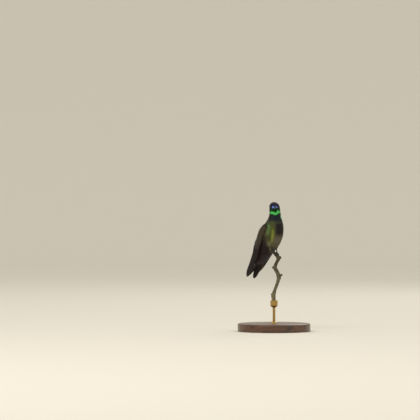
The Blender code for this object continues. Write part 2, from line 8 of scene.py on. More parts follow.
import bpy
import numpy as np
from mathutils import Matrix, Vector, noise
from mathutils.bvhtree import BVHTree
from mathutils.interpolate import poly_3d_calc
from mathutils.kdtree import KDTree

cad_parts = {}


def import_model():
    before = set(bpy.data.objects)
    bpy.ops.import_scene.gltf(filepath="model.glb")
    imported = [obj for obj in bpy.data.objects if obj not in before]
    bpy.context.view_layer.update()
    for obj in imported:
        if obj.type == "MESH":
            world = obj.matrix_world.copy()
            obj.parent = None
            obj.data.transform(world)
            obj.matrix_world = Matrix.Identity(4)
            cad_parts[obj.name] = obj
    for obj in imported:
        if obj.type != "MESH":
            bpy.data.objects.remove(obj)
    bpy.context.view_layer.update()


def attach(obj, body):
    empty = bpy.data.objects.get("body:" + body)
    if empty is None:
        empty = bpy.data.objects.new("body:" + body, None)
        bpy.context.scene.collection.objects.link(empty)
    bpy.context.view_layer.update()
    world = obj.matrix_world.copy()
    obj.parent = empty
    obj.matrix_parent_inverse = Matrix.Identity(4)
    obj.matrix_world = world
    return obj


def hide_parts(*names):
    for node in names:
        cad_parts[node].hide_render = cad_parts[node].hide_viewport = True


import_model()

MM = 0.001
SIDES = {1: "left", -1: "right"}
RNG = np.random.default_rng(7)
BODY_TURN = math.radians(34.0)
HEAD_PITCH = math.radians(9.0)
GRIP = np.array((0.5, 0.0, 87.3))
BILL_LENGTH = 28.0
HEAD_PLACE, HEAD_RISE = 12.0, 1.2  # the head's frame: its place along BODY, and how far up from there

# Sections across the spine, as in the solids: place, forward, up, pitch, turn, half width, front depth,
# back depth, roundness of the front.
BODY = (
    (0, -28.6, -11.6, -46, 0, 6.9, 1.9, 1.4, 2.4),
    (1, -24.4, -7.6, -46, 0, 7.7, 3.2, 2.3, 2.2),
    (2, -19.6, -3.0, -46, 0, 8.3, 4.7, 3.7, 2.1),
    (3, -14.4, 2.2, -43, 0, 8.9, 6.9, 5.8, 2.0),
    (4, -10.6, 7.0, -36, 0, 9.9, 8.8, 7.8, 2.0),
    (5, -7.4, 12.6, -29, 0, 11.2, 10.9, 9.6, 2.0),
    (6, -4.8, 18.2, -23, 0, 11.8, 12.1, 10.8, 2.0),
    (7, -2.5, 24.0, -19, -1, 11.5, 12.2, 10.7, 2.0),
    (8, -0.8, 29.8, -13, -4, 10.6, 10.5, 9.7, 2.0),
    (9, 0.4, 34.8, -5, -11, 8.5, 8.4, 7.3, 2.0),
    (10, 1.0, 38.8, 2, -20, 7.0, 7.2, 6.7, 2.0),
    (11, 1.1, 42.2, 7, -29, 6.3, 7.0, 6.8, 1.9),
    (12, 0.7, 45.4, 9, -34, 6.05, 8.6, 7.6, 1.55),
    (13, 0.2, 48.4, 9, -34, 5.95, 7.9, 7.9, 1.75),
    (14, -0.2, 51.0, 9, -34, 5.45, 6.4, 7.2, 1.95),
    (15, -0.5, 53.1, 9, -34, 4.1, 4.4, 5.3, 2.0),
    (16, -0.7, 54.5, 9, -34, 1.6, 1.8, 2.0, 2.0),
)
LAST = 16.0
SKIN_START, BODY_ROWS, BODY_AROUND = 0.7, 200, 96
WING_FRONT = (
    (0.0, 10.9, 2.6, 27.0),
    (0.12, 12.4, -1.4, 18.9),
    (0.3, 13.0, -7.8, 8.4),
    (0.55, 12.0, -18.8, -5.2),
    (0.8, 10.1, -30.5, -18.8),
    (0.92, 9.3, -37.6, -24.2),
    (1.0, 8.5, -42.4, -27.0),
)
WING_FOLD = (
    (0.0, 10.5, 0.2, 30.0),
    (0.12, 12.8, -8.2, 23.6),
    (0.3, 12.9, -16.9, 13.8),
    (0.55, 11.2, -25.6, -0.2),
    (0.8, 9.5, -36.7, -15.0),
    (0.92, 8.9, -41.2, -20.8),
    (1.0, 8.4, -43.5, -25.4),
)
WING_BACK = (
    (0.0, 9.4, -2.4, 32.0),
    (0.12, 8.6, -12.2, 27.0),
    (0.3, 6.0, -20.8, 16.4),
    (0.45, 5.6, -24.6, 8.0),
    (0.56, 7.6, -26.8, 1.2),
)
# The two wings aren't held quite alike: place along the wing, and the move out, forward and up.
WING_MOVES = {
    1: (
        (0.0, 0.0, -0.9, -0.4),
        (0.12, 0.0, -0.4, 0.0),
        (0.3, 0.0, 0.0, 0.0),
        (0.55, -1.2, -3.3, 0.0),
        (0.8, -1.5, -3.7, 0.0),
        (0.92, -0.9, -4.4, 0.0),
        (1.0, -0.3, -4.0, 0.0),
    ),
    -1: (
        (0.0, 0.8, -0.6, 0.0),
        (0.12, 0.6, -0.6, 0.0),
        (0.3, 0.2, 0.0, 0.0),
        (0.55, 0.0, 0.0, 0.0),
        (1.0, 0.0, 0.0, 0.0),
    ),
}
TAIL_BASE, TAIL_LEAN, TAIL_ROOF = (-13.9, 2.5), math.radians(46.0), math.radians(7.0)
TAIL_COVERED, TAIL_SHOWN, TAIL_TWIST, TAIL_ASIDE = 20.4, 23.8, math.radians(16.5), {1: 1.1, -1: 0.8}
TWIG = (
    (-5.9, -3.7, 3.7, 1.3),
    (-5.2, -3.4, 3.1, 1.55),
    (-2.6, -2.6, 1.0, 1.65),
    (1.0, -1.4, -2.2, 1.8),
    (4.3, 0.6, -6.4, 2.3),
    (2.4, 1.4, -11.6, 1.75),
    (0.6, 0.9, -17.4, 2.3),
    (3.2, 0.0, -22.4, 2.1),
    (4.8, -0.6, -27.2, 2.5),
    (3.8, -0.5, -32.4, 1.9),
    (2.0, 0.1, -37.6, 1.75),
    (0.1, 0.5, -43.0, 1.9),
    (-1.1, 0.5, -47.6, 2.45),
    (-0.8, 0.2, -53.0, 2.25),
    (-0.5, 0.0, -58.0, 2.2),
)
STUBS = (
    ((4.4, 0.8, -6.6), (7.4, 0.4, -5.8), 2.0, 1.5),
    ((0.8, 0.9, -17.2), (-2.8, 0.2, -17.0), 1.9, 0.9),
    ((5.0, -0.6, -27.0), (8.7, -1.2, -24.6), 2.0, 1.0),
    ((-1.2, 0.5, -47.4), (-3.9, 0.0, -46.2), 1.5, 0.8),
)


# ---------------------------------------------------------------- numbers


def unit(v):
    return v / np.maximum(np.linalg.norm(v, axis=-1, keepdims=True), 1e-9)


def smooth(low, high, x):
    """0 below low, 1 above high, and a smooth step between. high may be the lower."""
    t = np.clip((np.asarray(x, float) - low) / (high - low), 0, 1)
    return t * t * (3 - 2 * t)


def hump(x, centre, half):
    """1 at the centre, falling smoothly to 0 at half away."""
    return smooth(half, 0, np.abs(np.asarray(x, float) - centre))


def through(rows, x):
    """The rest of the rows at x, on the smooth curve through rows, whose first column is x itself."""
    rows = np.asarray(rows, float)
    xs, values = rows[:, 0], rows[:, 1:]
    slopes = np.gradient(values, xs, axis=0)
    x = np.asarray(x, float)
    k = np.clip(np.searchsorted(xs, x, side="right") - 1, 0, len(xs) - 2)
    h = (xs[k + 1] - xs[k])[..., None]
    t = (x - xs[k])[..., None] / h
    return (
        (2 * t**3 - 3 * t**2 + 1) * values[k]
        + (t**3 - 2 * t**2 + t) * h * slopes[k]
        + (3 * t**2 - 2 * t**3) * values[k + 1]
        + (t**3 - t**2) * h * slopes[k + 1]
    )


def bell(x, width):
    return np.exp(-((x / width) ** 2))


def read_off(rows, x):
    """The value at x from rows of (x, value), straight between them."""
    return np.interp(x, *zip(*rows))


def turned_about_z(points, angle):
    c, s = math.cos(angle), math.sin(angle)
    return points @ np.array(((c, s, 0), (-s, c, 0), (0, 0, 1)))


def world(points):
    """From the bird's own frame to the world."""
    return turned_about_z(np.asarray(points, float), BODY_TURN) + GRIP


HEAD_FORWARD, HEAD_UP = through(BODY, HEAD_PLACE)[:2]
HEAD_AT = world((0, -HEAD_FORWARD, HEAD_UP + HEAD_RISE))
TILT_C, TILT_S = math.cos(HEAD_PITCH), math.sin(HEAD_PITCH)
HEAD_TILT = np.array(((1, 0, 0), (0, TILT_C, -TILT_S), (0, TILT_S, TILT_C)))


def head_frame(points):
    """From the head's frame, whose -y is the bill's way, to the world."""
    return np.asarray(points, float) @ HEAD_TILT + HEAD_AT


def in_head_frame(points):
    return (points - HEAD_AT) @ HEAD_TILT.T


def linear(r, g, b):
    """A colour of 0 to 255 in sRGB as linear light."""
    c = np.array((r, g, b), float) / 255
    return np.where(c <= 0.04045, c / 12.92, ((c + 0.055) / 1.055) ** 2.4)


def mixed(a, b, share):
    return a + (b - a) * np.asarray(share)[..., None]


def circle(count):
    return 2 * np.pi * np.arange(count) / count


def around_axis(a, b, turn):
    """The directions at turns from a towards b."""
    return a * np.cos(turn)[..., None] + b * np.sin(turn)[..., None]


# ---------------------------------------------------------------- objects


def mesh_object(name, co, faces, colours=None, uv=None, sharp=None, barbs=None):
    """A mesh from points in millimetres and arrays of faces. uv is given per point or per corner."""
    mesh = bpy.data.meshes.new(name)
    mesh.vertices.add(len(co))
    mesh.vertices.foreach_set("co", (np.asarray(co) * MM).astype(np.float32).ravel())
    corners = np.concatenate([np.asarray(f).ravel() for f in faces]).astype(np.int32)
    sizes = np.concatenate([np.full(len(f), np.shape(f)[1]) for f in faces])
    mesh.loops.add(len(corners))
    mesh.loops.foreach_set("vertex_index", corners)
    mesh.polygons.add(len(sizes))
    mesh.polygons.foreach_set("loop_start", np.concatenate(([0], np.cumsum(sizes)[:-1])).astype(np.int32))
    mesh.update(calc_edges=True)
    if colours is not None:
        layer = mesh.color_attributes.new("mark", "FLOAT_COLOR", "POINT")
        layer.data.foreach_set("color", np.asarray(colours, np.float32).ravel())
    if barbs is not None:
        layer = mesh.attributes.new("barb", "FLOAT_VECTOR", "POINT")
        layer.data.foreach_set("vector", np.asarray(barbs, np.float32).ravel())
    if uv is not None:
        layer = mesh.uv_layers.new(name="OFBake")
        uv = np.asarray(uv, np.float32)
        layer.data.foreach_set("uv", (uv if len(uv) == len(corners) else uv[corners]).ravel())
    mesh.shade_smooth()
    if sharp:
        mesh.set_sharp_from_angle(angle=math.radians(sharp))
    obj = bpy.data.objects.new(name, mesh)
    bpy.context.scene.collection.objects.link(obj)
    return obj


def grid_faces(rows, columns):
    """Quads over a grid of points, with the last column joined to the first."""
    i = np.arange(rows - 1)[:, None] * columns
    j = np.arange(columns)[None, :]
    k = (j + 1) % columns
    return np.stack((i + j, i + k, i + columns + k, i + columns + j), -1).reshape(-1, 4)


def outward(co, *faces):
    """The faces of a closed shape, turned so that they face out."""
    volume = 0.0
    middle = co.mean(0)
    for some in faces:
        corners = co[some] - middle
        for k in range(1, some.shape[1] - 1):
            a, b, c = corners[:, 0], corners[:, k], corners[:, k + 1]
            volume += np.einsum("ij,ij->", a, np.cross(b, c))
    return faces if volume > 0 else tuple(some[:, ::-1] for some in faces)


def capped(rings):
    """Points and faces of a closed tube through rings, with a fan at each end."""
    rings = np.asarray(rings, float)
    rows, columns = rings.shape[:2]
    co = np.concatenate((rings.reshape(-1, 3), [rings[0].mean(0)], [rings[-1].mean(0)]))
    j = np.arange(columns)
    k = (j + 1) % columns
    first, last = rows * columns, rows * columns + 1
    low = np.stack((np.full(columns, first), k, j), -1)
    high = np.stack((np.full(columns, last), (rows - 1) * columns + j, (rows - 1) * columns + k), -1)
    return co, *outward(co, grid_faces(rows, columns), np.concatenate((low, high)))


def evaluated(obj, *helpers):
    """The points, in millimetres, and triangles of an object with its modifiers; the object is removed."""
    mesh = obj.evaluated_get(bpy.context.evaluated_depsgraph_get()).to_mesh()
    co = np.empty(len(mesh.vertices) * 3, np.float32)
    mesh.vertices.foreach_get("co", co)
    tris = np.empty(len(mesh.loop_triangles) * 3, np.int32)
    mesh.loop_triangles.foreach_get("vertices", tris)
    for used in (obj, *helpers):
        data = used.data
        bpy.data.objects.remove(used)
        bpy.data.meshes.remove(data)
    return co.reshape(-1, 3).astype(float) / MM, tris.reshape(-1, 3)


def with_ends(values):
    """Values at a loft's points, with the first and last again for the points that close its ends."""
    return np.concatenate((values, values[:1], values[-1:]))


def together(parts):
    """Several (points, faces, faces, ...) as one."""
    points, faces, count = [], [], 0
    for co, *some in parts:
        points.append(co)
        faces += [np.asarray(f) + count for f in some]
        count += len(co)
    return np.concatenate(points), faces


def piece(name, parts, look, slot, *nodes, **traits):
    """A piece made of closed shapes, with its material and the nodes that it stands for; its slot is not
    used.
    """
    obj = mesh_object(name, *together(parts), **traits)
    obj.data.materials.append(MATERIALS[look])
    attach(obj, "root")
    if nodes:
        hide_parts(*nodes)


# ---------------------------------------------------------------- materials


class Look:
    """A material being made. Each input of a node is given a value or another node's output."""

    def __init__(self, name):
        self.material = bpy.data.materials.new(name)
        self.material.use_nodes = True
        self.tree = self.material.node_tree

    def fill(self, made, inputs):
        for key, value in inputs.items():
            socket = made.inputs[key]
            if isinstance(value, bpy.types.NodeSocket):
                self.tree.links.new(value, socket)
            else:
                socket.default_value = (*value, 1) if socket.type == "RGBA" else value

    def node(self, kind, inputs=None, **settings):
        made = self.tree.nodes.new("ShaderNode" + kind)
        for key, value in settings.items():
            setattr(made, key, value)
        self.fill(made, inputs or {})
        return made.outputs

    def place(self):
        return self.node("TexCoord")["Object"]

    def noise(self, scale, detail=4.0, roughness=0.55, distortion=0.0, vector=None):
        vector = self.place() if vector is None else vector
        inputs = {"Vector": vector, "Scale": scale, "Detail": detail, "Roughness": roughness}
        return self.node("TexNoise", {**inputs, "Distortion": distortion})["Fac"]

    def math(self, operation, *values):
        return self.node("Math", dict(enumerate(values)), operation=operation)[0]

    def span(self, source, low, high, to_low=0.0, to_high=1.0):
        inputs = {"Value": source, "From Min": low, "From Max": high, "To Min": to_low, "To Max": to_high}
        return self.node("MapRange", inputs)["Result"]

    def mix(self, share, a, b, blend="MIX"):
        return self.node("Mix", {0: share, 6: a, 7: b}, data_type="RGBA", blend_type=blend)[2]

    def times(self, a, b):
        return self.mix(1.0, a, b, "MULTIPLY")

    def bump(self, height, strength, distance):
        inputs = {"Height": height, "Strength": strength, "Distance": distance * MM}
        return self.node("Bump", inputs)["Normal"]

    def done(self, inputs):
        self.fill(self.tree.nodes["Principled BSDF"], inputs)
        return self.material


def plumage(name, roughness, metal, barb=0.14, sheen=0.0):
    """Feathers take their colour from the markings, whose alpha is how much they shine like metal.

    The barb attribute holds how many barbs have passed, how far out from the shaft, and a shade.
    """
    look = Look(name)
    mark = look.node("Attribute", attribute_name="mark")
    barbs = look.node("Attribute", attribute_name="barb")["Vector"]
    phase = look.math("MULTIPLY", look.node("SeparateXYZ", {0: barbs})["X"], 2 * math.pi)
    wave = look.math("SINE", phase)
    colour = look.times(mark["Color"], look.span(wave, -1.0, 1.0, 1 - barb, 1 + barb))
    return look.done({
        "Base Color": look.times(colour, look.span(look.noise(900.0, 3.0), 0.3, 0.7, 0.8, 1.2)),
        "Metallic": look.span(mark["Alpha"], 0.0, 1.0, 0.0, metal),
        "Roughness": look.span(mark["Alpha"], 0.0, 1.0, roughness, 0.36),
        "Normal": look.bump(wave, 0.5, 0.02),
        "Specular IOR Level": 0.15,
        "Sheen Weight": sheen,
        "Sheen Roughness": 0.5,
    })


def horn_material():
    look = Look("black_horn")
    fine = look.noise(1400.0, 3.0)
    return look.done({
        "Base Color": look.mix(fine, linear(14, 13, 13), linear(40, 36, 34)),
        "Roughness": 0.32,
        "Specular IOR Level": 0.35,
        "Normal": look.bump(fine, 0.2, 0.03),
    })


def foot_material():
    look = Look("foot_skin")
    scales = look.node("TexVoronoi", {"Vector": look.place(), "Scale": 2600.0})["Distance"]
    creases = look.span(scales, 0.1, 0.7)
    return look.done({
        "Base Color": look.mix(creases, linear(58, 50, 44), linear(20, 17, 16)),
        "Roughness": 0.5,
        "Normal": look.bump(creases, 0.5, 0.06),
    })


def eye_material():
    look = Look("wet_eye")
    return look.done({
        "Base Color": look.mix(look.noise(500.0, 2.0), linear(8, 5, 4), linear(26, 15, 10)),
        "Roughness": 0.08,
        "Specular IOR Level": 0.4,
    })


def bark_material():
    """The markings hold where the bark is worn or grown over; this adds its grain, cracks and lichen."""
    look = Look("bark")
    mark = look.node("Attribute", attribute_name="mark")
    coarse, fine = look.noise(220.0, 6.0, 0.65, 0.4), look.noise(1300.0, 5.0, 0.7)
    colour = look.times(mark["Color"], look.span(coarse, 0.36, 0.62, 0.35, 1.35))
    colour = look.times(colour, look.span(fine, 0.35, 0.65, 0.55, 1.35))
    lichen = look.span(look.noise(150.0, 7.0, 0.75, 0.8), 0.6, 0.68, 0.0, 0.75)
    return look.done({
        "Base Color": look.mix(look.math("MULTIPLY", lichen, mark["Alpha"]), colour, linear(128, 126, 92)),
        "Roughness": 0.88,
        "Normal": look.bump(look.math("ADD", coarse, fine), 0.9, 0.25),
    })


def wood_material():
    look = Look("stand_walnut")
    stretched = look.node("Mapping", {"Vector": look.place(), "Scale": (1.0, 9.0, 9.0)})["Vector"]
    grain = look.noise(22.0, 8.0, 0.5, 0.6, stretched)
    return look.done({
        "Base Color": look.mix(look.span(grain, 0.32, 0.7), linear(46, 28, 18), linear(104, 68, 43)),
        "Roughness": look.span(grain, 0.3, 0.7, 0.3, 0.42),
        "Normal": look.bump(grain, 0.15, 0.1),
        "Coat Weight": 0.25,
        "Coat Roughness": 0.2,
    })


def brass_material():
    look = Look("stand_brass")
    rub = look.noise(300.0, 4.0)
    return look.done({
        "Base Color": look.mix(rub, linear(146, 116, 62), linear(196, 164, 100)),
        "Metallic": 1.0,
        "Roughness": look.span(rub, 0.3, 0.7, 0.26, 0.4),
    })


MATERIALS = {
    "down": plumage("down", 0.8, 0.2),
    "gloss": plumage("glossy_plumage", 0.55, 0.6),
    "soft": plumage("soft_plumage", 0.7, 0.4, sheen=0.05),
    "vane": plumage("vanes", 0.55, 0.3, barb=0.18),
    "horn": horn_material(),
    "foot": foot_material(),
    "eye": eye_material(),
    "bark": bark_material(),
    "wood": wood_material(),
    "brass": brass_material(),
}


# ---------------------------------------------------------------- the skin's shape


def body_point(place, angle, grow=0.0):
    """The body's surface in its own frame: angle 0 is its left, 90 degrees its front, 270 its back."""
    forward, up, pitch, turn, width, front, back, roundness = np.moveaxis(through(BODY, place), -1, 0)
    pitch, turn = np.radians(pitch), np.radians(turn)
    ahead = np.stack((np.sin(turn) * np.cos(pitch), -np.cos(turn) * np.cos(pitch), np.sin(pitch)), -1)
    left = np.stack((np.cos(turn), np.sin(turn), np.zeros_like(turn)), -1)
    c, s = np.cos(angle), np.sin(angle)
    power = np.where(s > 0, 2 / roundness, 1.0)
    across = np.sign(c) * np.abs(c) ** power * np.maximum(width + grow, 0.05)
    rise = np.abs(s) ** power
    depth = np.where(s > 0, rise * np.maximum(front + grow, 0.05), -rise * np.maximum(back + grow, 0.05))
    middle = np.stack((np.zeros_like(forward), -forward, up), -1)
    return middle + left * across[..., None] + ahead * depth[..., None]


# How deep the coat is over the skin, by place along BODY.
COAT = ((0, 0.35), (2, 0.7), (4, 1.0), (7, 1.1), (9, 0.8), (10.5, 0.55), (12, 0.4), (16, 0.4))


EYES = {side: head_frame((side * 4.25 - 0.15, -3.6, 1.1)) for side in SIDES}
EYE_WAYS = {side: unit(head_frame((side * 0.9, -0.42, 0.06)) - head_frame((0, 0, 0))) for side in SIDES}
EYE_RADIUS, EYE_DEPTH = 1.75, 1.46  # across the eyeball, and from its middle to the cornea
LID_OPEN, LID_HEIGHT, LID_THICK = 1.46, 0.82, 0.15
EYE_HOLLOW, EYE_CLEAR = 0.42, 0.28  # how far the skin is drawn in, and how far off the feathers stay
BILL_ROOT, BILL_DROP = -7.6, 0.9
BILL_BASE = head_frame((0, BILL_ROOT, -BILL_DROP))
NAPE_SINK = world((0, 4.0, 30.0))


def basis(way):
    """Two directions across a way: one level, and one up the side."""
    a = unit(np.cross(way, (0, 0, 1.0)))
    return a, np.cross(way, a)


def from_eye(points, side):
    """How far points are along and across the way that an eye looks, and their part across it."""
    away = points - EYES[side]
    along = away @ EYE_WAYS[side]
    flat = away - along[..., None] * EYE_WAYS[side]
    return along, np.linalg.norm(flat, axis=-1), flat


def eye_hollow(points):
    """Draws the skin in round each eye, to the rim that the lids lie on."""
    for side in SIDES:
        along, across, _ = from_eye(points, side)
        dip = smooth(2.7, 1.5, across) * smooth(-0.5, 0.3, along)
        points = points - EYE_WAYS[side] * (dip * EYE_HOLLOW)[..., None]
    return points


def skin_rings(places):
    place, angle = np.meshgrid(places, circle(BODY_AROUND), indexing="ij")
    return eye_hollow(world(body_point(place, angle, -read_off(COAT, place)))), place, angle


# ---------------------------------------------------------------- the wings' shape


def edge(rows, s, side):
    left, forward, up = np.moveaxis(through(rows, s) + through(WING_MOVES[side], s), -1, 0)
    return np.stack((left, -forward, up), -1)


def blade(first, second, bulge, s, q, side):
    a, b = edge(first, s, side), edge(second, s, side)
    run = unit(edge(first, s + 0.01, side) + edge(second, s + 0.01, side) - a - b)
    out = unit(np.cross(b - a, run))
    out = np.where(out[..., :1] < 0, -out, out)
    return a + (b - a) * q[..., None] + out * (bulge * 4 * q * (1 - q))[..., None]


ARM_END, SECONDARIES_END = 0.34, 0.56
ARM_ROWS, ARM_AROUND = 28, 56
PRIMARY_TIPS = (1.0, 0.968, 0.92, 0.868, 0.815, 0.763, 0.715, 0.672, 0.633, 0.6)


def wing_point(s, g, side):
    """The outer face of a wing, before it is mirrored to its side.

    s runs from the wrist to the tip. g is 0 at the front edge, 1 at the fold and 2 at the back.
    """
    s, g = np.broadcast_arrays(np.asarray(s, float), np.asarray(g, float))
    arm = blade(WING_FRONT, WING_BACK, 2.6 + 1.8 * np.clip(s / ARM_END, 0, 1), s, g / 2, side)
    share = np.clip((s - ARM_END) / (SECONDARIES_END - ARM_END), 0, 1)
    inner = blade(WING_FOLD[:4], WING_BACK, 1.6 - share, s, g - 1, side)
    outer = blade(WING_FRONT, WING_FOLD, 0.9 - 0.8 * np.clip((s - ARM_END) / 0.66, 0, 1), s, g, side)
    fine = np.where((g < 1)[..., None], outer, inner)
    return mixed(arm, fine, smooth(0.3, 0.38, s))


def wing_normal(s, g, side):
    along = wing_point(s + 0.01, g, side) - wing_point(s - 0.01, g, side)
    across = wing_point(s, g + 0.02, side) - wing_point(s, g - 0.02, side)
    out = unit(np.cross(along, across))
    return np.where(out[..., :1] < 0, -out, out)


def mirrored(points, side):
    return points * np.array((side, 1.0, 1.0))


def across_wing(turn):
    """The place across a wing, 0 to 2, for a turn round its flesh: the outer face, then the inner."""
    q = 4 * np.mod(turn, 2 * np.pi) / (2 * np.pi)
    return np.minimum(q, 4 - q)


def arm_rings(side, start=0.0, end=0.36):
    """The arm inside the coverts: a closed loft, a little inside the wing's outer face."""
    s, turn = np.meshgrid(np.linspace(start, end, ARM_ROWS), circle(ARM_AROUND), indexing="ij")
    g = np.clip(across_wing(turn), 0.05, 1.95)
    outer = wing_point(s, g, side)
    plump = 0.3 + 0.9 * smooth(0.4, 0.2, s) + 1.6 * smooth(0.16, 0.0, s)
    thick = 0.45 + plump * np.sqrt(np.sin(np.pi * np.clip(g / 2, 0, 1)))
    depth = 0.5 + np.where(turn > np.pi, thick, 0)
    return world(mirrored(outer - wing_normal(s, g, side) * depth[..., None], side)), s, turn


# ---------------------------------------------------------------- the skin

VOXEL = 0.33
NO_CAP = 0.15  # how far the feathers' roots stay from the skin's cut end


def closed_loft(rings, kind, along, turn):
    """A closed loft, and for each of its points: which loft it is, how far along, and the turn round it."""
    flat = np.stack((np.full(along.shape, kind), along, np.cos(turn), np.sin(turn)), -1).reshape(-1, 4)
    last = -rings.shape[1]
    return capped(rings), np.concatenate((flat, flat[:1], flat[last:][:1]))


def thigh_rings(word):
    """The feathered thigh, round the leg from inside the belly to a little way out of it."""
    hip, *_, sole = leg_frame(word)
    t = np.linspace(0, 1, 14)
    points = GRIP + hip + (sole - hip) * (0.6 * t[:, None] - 0.1)
    return tube_rings(points, (2.0 - 0.7 * t) * np.sqrt(np.clip(1.02 - t**2.4, 0.02, 1)), 24)


def lid_ring(side):
    """Both lids as one closed rim, drawn out a little to the corners of the eye."""
    way = EYE_WAYS[side]
    a, b = basis(way)
    turn = circle(72)
    reach = LID_OPEN * (1 + 0.1 * np.abs(np.cos(turn)) ** 6 - 0.07 * np.sin(turn) ** 2)
    out = around_axis(a, b, turn)
    crinkle = 1 + 0.22 * np.sin(24 * turn) * np.abs(np.sin(turn))
    middle = EYES[side] + way * LID_HEIGHT + out * (reach + 0.14)[:, None]
    q = circle(12)
    skirt = np.where(np.cos(q) > 0, 2.0, 1.0) * np.cos(q)
    rim = (
        middle[:, None]
        + out[:, None] * (1.2 * LID_THICK * skirt)[:, None]
        + way * (LID_THICK * np.sin(q) * crinkle[:, None] - 0.2 * skirt - 0.08)[..., None]
    )
    co = rim.reshape(-1, 3)
    faces = grid_faces(73, 12) % len(co)
    return (co, *outward(co, faces))


def tail_rings():
    """The tail as a thin wedge, for the lie of the coverts over it."""
    a, turn = np.meshgrid(np.linspace(38.0, 23.0, 16), circle(BODY_AROUND), indexing="ij")
    c, s = np.cos(turn), np.sin(turn)
    return world(tail_point(a, 5.8 * c, np.where(s > 0, -0.9, -np.interp(a, (23, 32), (0.45, 0.1))) * s))


def one_flesh(shapes, lids=()):
    """A closed skin round overlapping closed shapes, its creases eased, with the lids joined on."""
    co, faces = together(shapes)
    flesh = mesh_object("flesh", co, faces)
    remesh = flesh.modifiers.new("one", "REMESH")
    remesh.mode, remesh.voxel_size = "VOXEL", VOXEL * MM
    settle = flesh.modifiers.new("settle", "SMOOTH")
    settle.factor, settle.iterations = 0.5, 7
    rims = [mesh_object("rim", rim, faces) for rim, *faces in lids]
    for rim in rims:
        join = flesh.modifiers.new("lids", "BOOLEAN")
        join.operation, join.solver, join.object = "UNION", "EXACT", rim
    return evaluated(flesh, *rims)


def place_on(lofts, points):
    """Which loft each point lies on, how far along it, and the turn round it."""
    co = np.concatenate([loft[0][0] for loft in lofts])
    traits = np.concatenate([loft[1] for loft in lofts])
    polygons, count = [], 0
    for (some, *faces), _ in lofts:
        polygons += [tuple(row) for face in faces for row in (face + count).tolist()]
        count += len(some)
    corners = [Vector(p) for p in co]
    tree = BVHTree.FromPolygons(corners, polygons)
    got = np.empty((len(points), 4))
    for i, p in enumerate(points):
        near, _, index, _ = tree.find_nearest(Vector(p))
        polygon = polygons[index]
        got[i] = np.array(poly_3d_calc([corners[k] for k in polygon], near)) @ traits[list(polygon)]
    return got[:, 0].round(), got[:, 1], np.mod(np.arctan2(got[:, 3], got[:, 2]), 2 * np.pi)


def skin_uv(kind, along, turn):
    """The trunk and head unrolled over the lower 0.68 of the map, and each arm in its own panel above."""
    around = turn / (2 * np.pi)
    uv = np.stack((0.02 + 0.94 * around, 0.02 + 0.66 * along / LAST), -1)
    for side, start in ((1, 0.02), (-1, 0.5)):
        panel = np.stack((start + 0.44 * around, 0.71 + 0.36 * along), -1)
        uv = np.where((kind == side)[..., None], panel, uv)
    return uv


# ---------------------------------------------------------------- the markings

CROWN_BRONZE = linear(52, 48, 24)
VIOLET_BRIGHT, VIOLET, VIOLET_DARK = linear(112, 138, 228), linear(44, 50, 118), linear(24, 24, 52)
FACE_BLACK = linear(34, 26, 30)
# The gorget's bright green is a painted reflection; its dark green is the gorget where none is painted.
GORGET_GLINT, GORGET_DARK = linear(84, 205, 98), linear(10, 62, 26)
BIB, BIB_SIDE = linear(25, 30, 40), linear(28, 29, 28)
THROAT_OLIVE = linear(62, 66, 50)
# The breast's gold is a painted highlight.
# The breast's green is partly a painted sheen on its lit side.
BREAST_GREEN_AND_SHEEN, BREAST_OLIVE, BREAST_GLINT = linear(84, 106, 60), linear(66, 72, 30), linear(134, 140, 62)
# The breast's black and side colour are partly painted shade, on the side away from the light.
BREAST_BLACK_AND_SHADE, BREAST_GREY, BREAST_SIDE_IN_SHADE = linear(29, 23, 22), linear(100, 91, 78), linear(56, 48, 32)
BELLY, BELLY_PALE = linear(90, 84, 62), linear(116, 110, 84)
FLANK, VENT = linear(52, 47, 32), linear(32, 20, 23)
BACK_GREEN, RUMP_GREEN = linear(58, 66, 34), linear(62, 62, 36)
NECK_SPOT = linear(140, 212, 168)
SPOT_WHITE = linear(205, 202, 192)
LID_DARK = linear(34, 29, 29)
DOWN_DARK, DOWN_SHINE = 0.5, 0.3  # the skin's down against the feathers over it
# The lower and upper edges of the painted reflection on the gorget, along the spine, at angles round the
# head.
GLINT_LOW = (
    (14, 11.15), (29, 11.1), (58, 11.0), (74, 10.6), (92, 10.42), (112, 10.5), (130, 10.75), (168, 10.95),
)
GLINT_HIGH = (
    (14, 11.45), (29, 11.6), (56, 11.9), (74, 11.5), (90, 11.15), (106, 11.35), (130, 11.55), (168, 11.3),
)


